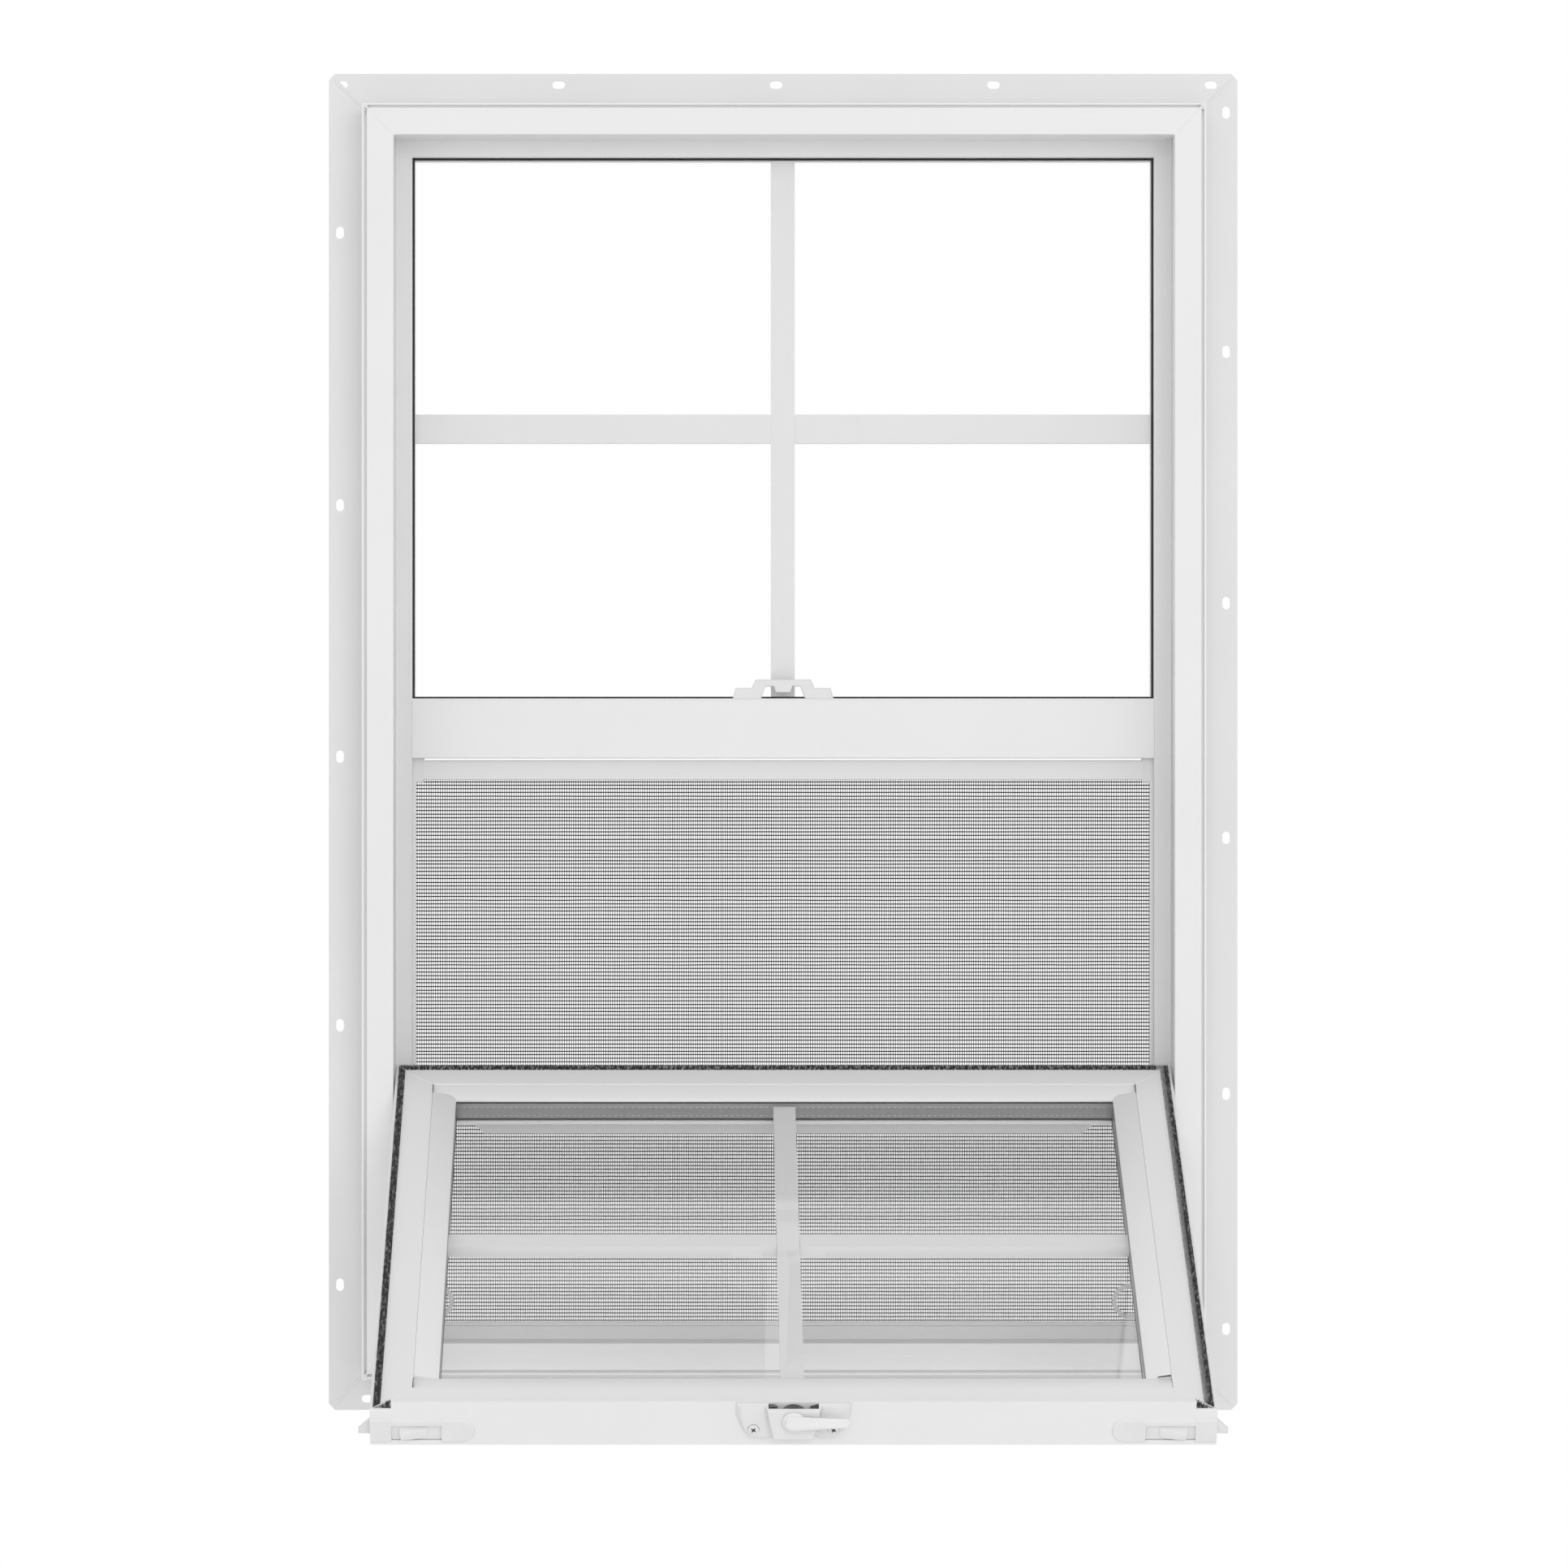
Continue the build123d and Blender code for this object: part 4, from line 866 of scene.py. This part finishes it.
# Tilt latches: a moulded cover pushed into each end of the top rail, rounded over along its upper
# edge, and in its window the sprung bolt with a crescent thumb button and a bevelled tongue.
latch_plastic = coated("moulded_latch", 0.80, 0.36, -sash_tilt)
cover_ends = (0.2068, 0.2285, 0.2610, 0.2749)
cover_depths = (0.0066, 0.0242)
cover_rise = 0.0015
cover_foot = -0.0003
window_depth = 0.0118
slide_top = -0.0004
button_ends = (0.2379, 0.2560)
button_low_edge = 0.0215
latch_plug = [(0.2729, 0.0104), (0.27488, 0.0104), (0.27488, 0.0231), (0.2729, 0.0231)]
latch_slabs = [
    ([(0.2209, 0.0107), (0.2724, 0.0107), (0.2724, 0.0228), (0.2209, 0.0228)], (-0.0020, slide_top)),
    ([(0.2620, 0.0120), (0.2720, 0.0120), (0.2720, 0.0210), (0.2620, 0.0210)], (-0.0055, -0.0018)),
    (
        [(0.2620, 0.0107), (0.2749, 0.0107), (0.2829, 0.0187), (0.2829, 0.0215), (0.2620, 0.0215)],
        (-0.0090, -0.0052),
    ),
]
cover_middle = (cover_depths[1] + cover_depths[0]) / 2
cover_radius = (cover_depths[1] - cover_depths[0]) / 2


def slab(shell, side, outline, heights):
    """Adds a flat slab, an outline on the sash's end face between two heights."""
    rings = []
    for height in heights:
        rings.append([on_sash(side * x, sash_height + height, depth) for x, depth in outline])
    loft(shell, rings)


def cover_height(x, depth):
    """How far the cover stands out of the end face, rounded over at its upper edge and inner end."""
    reach = cover_radius - math.hypot(min(x - (cover_ends[0] + cover_radius), 0), depth - cover_middle)
    over = 0.0019 if depth < cover_middle else 0.0007
    rounded = math.sqrt(max(0.0, 1 - (1 - min(1.0, max(reach, 0) / over)) ** 2))
    return cover_foot + (cover_rise - cover_foot) * rounded


def cover_ring(side, x, low, high, to_window):
    """One closed section of the cover, from its upper edge to its lower edge."""
    ring = []
    for k in range(25):
        share = k / 24
        depth = low + (high - low) * (1 - math.cos(math.pi * share)) / 2
        height = cover_height(x, depth)
        if to_window:
            rounded = min(1.0, 1.25 * math.sin(min(1.0, share * 1.12) * math.pi / 2))
            height = cover_foot + (cover_rise - cover_foot) * rounded
        ring.append(on_sash(side * x, sash_height + height, depth))
    ring.append(on_sash(side * x, sash_height + cover_foot, high))
    ring.append(on_sash(side * x, sash_height + cover_foot, low))
    return ring


for side, hand in [(-1, "left"), (1, "right")]:
    shell = bmesh.new()
    rings = []
    for i in range(25):
        x = cover_ends[0] + (cover_ends[1] - cover_ends[0]) * (i / 24) ** 1.8 + 0.00003
        short = max(0.0, (cover_ends[0] + cover_radius - x) / cover_radius)
        half = cover_radius * math.sqrt(max(0.0, 1 - short ** 2))
        rings.append(cover_ring(side, x, cover_middle - half, cover_middle + half, False))
    loft(shell, rings)
    loft(shell, [cover_ring(side, x, cover_depths[0], window_depth, True) for x in cover_ends[1:3]])
    loft(shell, [cover_ring(side, x, *cover_depths, False) for x in cover_ends[2:4]])
    slab(shell, side, latch_plug, (-0.0050, cover_foot))
    cover = keep_piece("latch_cover_" + hand, shell, latch_plastic)
    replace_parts(cover, "latch_housing_" + hand)

    shell = bmesh.new()
    for outline, heights in latch_slabs:
        slab(shell, side, outline, heights)
    soft_edges(shell, 0.0003)
    rings = []
    for i in range(21):
        share = i / 20
        x = button_ends[0] + (button_ends[1] - button_ends[0]) * share
        crest = slide_top + 0.0010 + 0.0034 * share ** 0.75
        facet_foot = 0.0130 - 0.0011 * share
        facet_top = 0.0137 + 0.0025 * share ** 0.8
        low_edge = button_low_edge - 0.0010 * max(0.0, 1 - share / 0.12) ** 2
        facet = facet_top - facet_foot
        ring = [
            (facet_foot, slide_top - 0.0003),
            (facet_foot + 0.35 * facet, slide_top + 0.22 * (crest - slide_top)),
            (facet_foot + 0.75 * facet, slide_top + 0.68 * (crest - slide_top)),
            (facet_top, crest - 0.0001),
            (facet_top + 0.0006, crest + 0.0001),
            (facet_top + 0.5 * (low_edge - facet_top), crest + 0.0001),
            (low_edge - 0.0006, crest - 0.0002),
            (low_edge, crest - 0.0009),
            (low_edge, slide_top - 0.0003),
        ]
        lean = -0.0012 * share / 0.009
        rings.append(
            [
                on_sash(side * (x + lean * (depth - facet_foot)), sash_height + height, depth)
                for depth, height in ring
            ]
        )
    loft(shell, rings)
    bolt = keep_piece("latch_slide_" + hand, shell, latch_plastic, "latch_" + hand)
    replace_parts(bolt, "latch_bolt_" + hand)

# Lock: a die-cast base coated white and screwed to the top rail. Each wing is a raised pad with sloping
# sides, and dark spring pieces stand at the ends of the room under its hood, their darkness painted shade.
lock_coat_bright = coated("white_lock_base", 0.80, 0.34, -sash_tilt)
dress(lock_coat_bright, "lock_base")
wing_rise = 0.0043
wing_foot = [
    (0.0176, -0.0058), (0.0378, -0.0058), (0.0376, 0.0030), (0.0352, 0.0100), (0.0325, 0.0150),
    (0.0285, 0.0192), (0.0150, 0.0202),
]
wing_top = [
    (0.0213, -0.0046), (0.0343, -0.0046), (0.0338, 0.0030), (0.0326, 0.0098), (0.0308, 0.0142),
    (0.0272, 0.0178), (0.0192, 0.0188),
]
shell = bmesh.new()
for side in (-1, 1):
    wing = bmesh.new()
    rings = []
    for share, height in [(0.0, 0.0), (0.30, 0.0016), (0.66, 0.0032), (0.90, 0.0040), (1.0, wing_rise)]:
        ring = []
        for (foot_x, foot_depth), (top_x, top_depth) in zip(wing_foot, wing_top):
            x = foot_x + (top_x - foot_x) * share
            if foot_x < 0.018:
                x = foot_x + (top_x - foot_x) * max(0.0, (height - 0.0030) / (wing_rise - 0.0030))
            depth = foot_depth + (top_depth - foot_depth) * share
            ring.append(on_sash(side * x, sash_height + height, depth))
        rings.append(ring)
    loft(wing, rings)
    soft_edges(wing, 0.0005, 3)
    wing_mesh = bpy.data.meshes.new("lock_wing")
    wing.to_mesh(wing_mesh)
    wing.free()
    shell.from_mesh(wing_mesh)
    bpy.data.meshes.remove(wing_mesh)
keep_piece("lock_wings", shell, lock_coat_bright)

# Painted shade: the springs' near-black steel stands for the shade at the ends of the room.
spring_shade_finish = brushed("spring_painted_shade", 0.15, 0.45, "X")
shell = bmesh.new()
for low, high, lean in [(-0.0162, -0.0105, 0.0004), (0.0108, 0.0162, -0.0022)]:
    rings = []
    for i in range(13):
        share = i / 12
        x = low + (high - low) * share
        bulge = 0.0012 * math.sin(math.pi * share) if low < 0 else 0.0
        front = -0.0034 - (0.0016 * share if low > 0 else 0.0013 * (1 - share)) - bulge * 0.3
        section = [(0.0009, front), (0.0057, front + 0.0004), (0.0057, 0.0), (0.0009, 0.0)]
        rings.append([on_sash(x, sash_height + height, depth) for height, depth in section])
    loft(shell, rings)
keep_piece("lock_springs", shell, spring_shade_finish)

coil_start = -0.0150
coil_pitch = 0.0013
coil_wire = 0.0005
coil_radius = 0.0012
coil_steel = brushed("spring_coil_steel", 0.45, 0.35, "X")
shell = bmesh.new()
for coil in range(3):
    rings = []
    for x in (coil_start + coil * coil_pitch, coil_start + coil * coil_pitch + coil_wire):
        ring = []
        for turn in [2 * math.pi * k / 12 for k in range(12)]:
            height = sash_height + 0.0026 + coil_radius * math.sin(turn)
            ring.append(on_sash(x, height, -0.0044 + coil_radius * math.cos(turn)))
        rings.append(ring)
    loft(shell, rings)
keep_piece("lock_spring_coil", shell, coil_steel)

# Lever: a die-cast handle coated white, a low round hub under a blade-like arm whose crest runs along
# its lower side, and below it the bare zinc stem and round cam that turn in the base.
hub_depth = 0.0040
hub_foot = sash_height + 0.0086
arm_foot = hub_foot + 0.0016
arm_stations = [
    (-0.0058, 0.0012, 0.0012), (-0.0052, 0.0028, 0.0026), (-0.0036, 0.0044, 0.0034),
    (-0.0008, 0.0051, 0.0039), (0.0030, 0.0049, 0.0039), (0.0080, 0.0044, 0.0037),
    (0.0140, 0.0040, 0.0035), (0.0200, 0.0037, 0.0033), (0.0260, 0.0035, 0.0032),
    (0.0310, 0.0033, 0.0031), (0.0345, 0.0031, 0.0030), (0.0355, 0.0028, 0.0027),
    (0.0360, 0.0021, 0.0020),
]
arm_section = [
    (-1.00, 0.10), (-0.97, 0.26), (-0.80, 0.38), (-0.40, 0.55), (0.00, 0.76), (0.22, 0.91), (0.42, 0.99),
    (0.62, 1.00), (0.84, 0.90), (0.97, 0.62), (1.00, 0.32), (0.96, 0.10), (0.70, 0.00), (-0.70, 0.00),
]
hub_steps = [(0.0069, 0.0), (0.0075, 0.0004), (0.0075, 0.0011), (0.0070, 0.0016), (0.0058, 0.0022)]


def round_ring(x, height, depth, radius, count):
    """A ring of points on the sash, round an axis that stands square to its end face."""
    turns = [2 * math.pi * k / count for k in range(count)]
    return [on_sash(x + radius * math.cos(turn), height, depth + radius * math.sin(turn)) for turn in turns]


lever_finish = coated("white_lever_coat", 0.82, 0.28, -sash_tilt)
shell = bmesh.new()
rings = []
for x, half, tall in arm_stations:
    middle = hub_depth - 0.0004
    rings.append([on_sash(x, arm_foot + tall * rise, middle + half * across) for across, rise in arm_section])
loft(shell, rings)
loft(shell, [round_ring(0.0, hub_foot + height, hub_depth, radius, 40) for radius, height in hub_steps])
lever = keep_piece("lock_handle", shell, lever_finish, "lock_lever")
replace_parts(lever, "lock_lever")

bare_zinc = brushed("bare_zinc", 0.22, 0.5, "Z", -sash_tilt)
shell = bmesh.new()
for radius, low, high in [(0.0030, 0.0040, 0.0102), (0.0090, 0.0013, 0.0053)]:
    loft(shell, [round_ring(0.0, sash_height + height, hub_depth, radius, 48) for height in (low, high)])
keep_piece("lock_cam", shell, bare_zinc, "lock_lever", smooth=False)

# Lock screws: pan-headed steel screws, painted with the lock, each standing in a dark ring of painted shade in
# its wing.
# A dark cross of painted shade on each head stands for the shade in its cross recess.
screw_paint = coated("painted_screw", 0.78, 0.35, -sash_tilt)
# Painted shade for the ring round each head and the cross on its top.
screw_shade_finish = clouded("screw_painted_shade", 1500.0, 0.01, 0.10, 0.55, metal=0.6)
screw_x = 0.0260
screw_depth = 0.0125
head_foot = sash_height + wing_rise
head_steps = [(0.0018, -0.0040), (0.0036, -0.0002), (0.0037, 0.0004), (0.0035, 0.0007), (0.0028, 0.0009)]
shade_steps = [(0.00383, -0.0002), (0.00383, 0.00005)]
cross_long = 0.0019
cross_wide = 0.00052
cross_arm = [
    (-1.0, -0.5), (-0.35, -1.0), (0.35, -1.0), (1.0, -0.5), (1.0, 0.5), (0.35, 1.0), (-0.35, 1.0), (-1.0, 0.5),
]
heads = bmesh.new()
marks = bmesh.new()
for side in (-1, 1):
    x = side * screw_x
    for shell, steps in [(heads, head_steps), (marks, shade_steps)]:
        loft(shell, [round_ring(x, head_foot + height, screw_depth, radius, 40) for radius, height in steps])
    for lean, top in [(35.0, 0.00004), (125.0, 0.00008)]:
        cos, sin = math.cos(math.radians(lean)), math.sin(math.radians(lean))
        cross = [(a * cross_long, b * cross_wide) for a, b in cross_arm]
        cross = [(long * cos - wide * sin, long * sin + wide * cos) for long, wide in cross]
        rings = []
        for lift in (-0.0003, top):
            height = head_foot + head_steps[-1][1] + lift
            rings.append([on_sash(x + out, height, screw_depth + down) for out, down in cross])
        loft(marks, rings)
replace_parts(keep_piece("screw_heads", heads, screw_paint), "lock_screws")
keep_piece("screw_painted_shades", marks, screw_shade_finish, smooth=False)
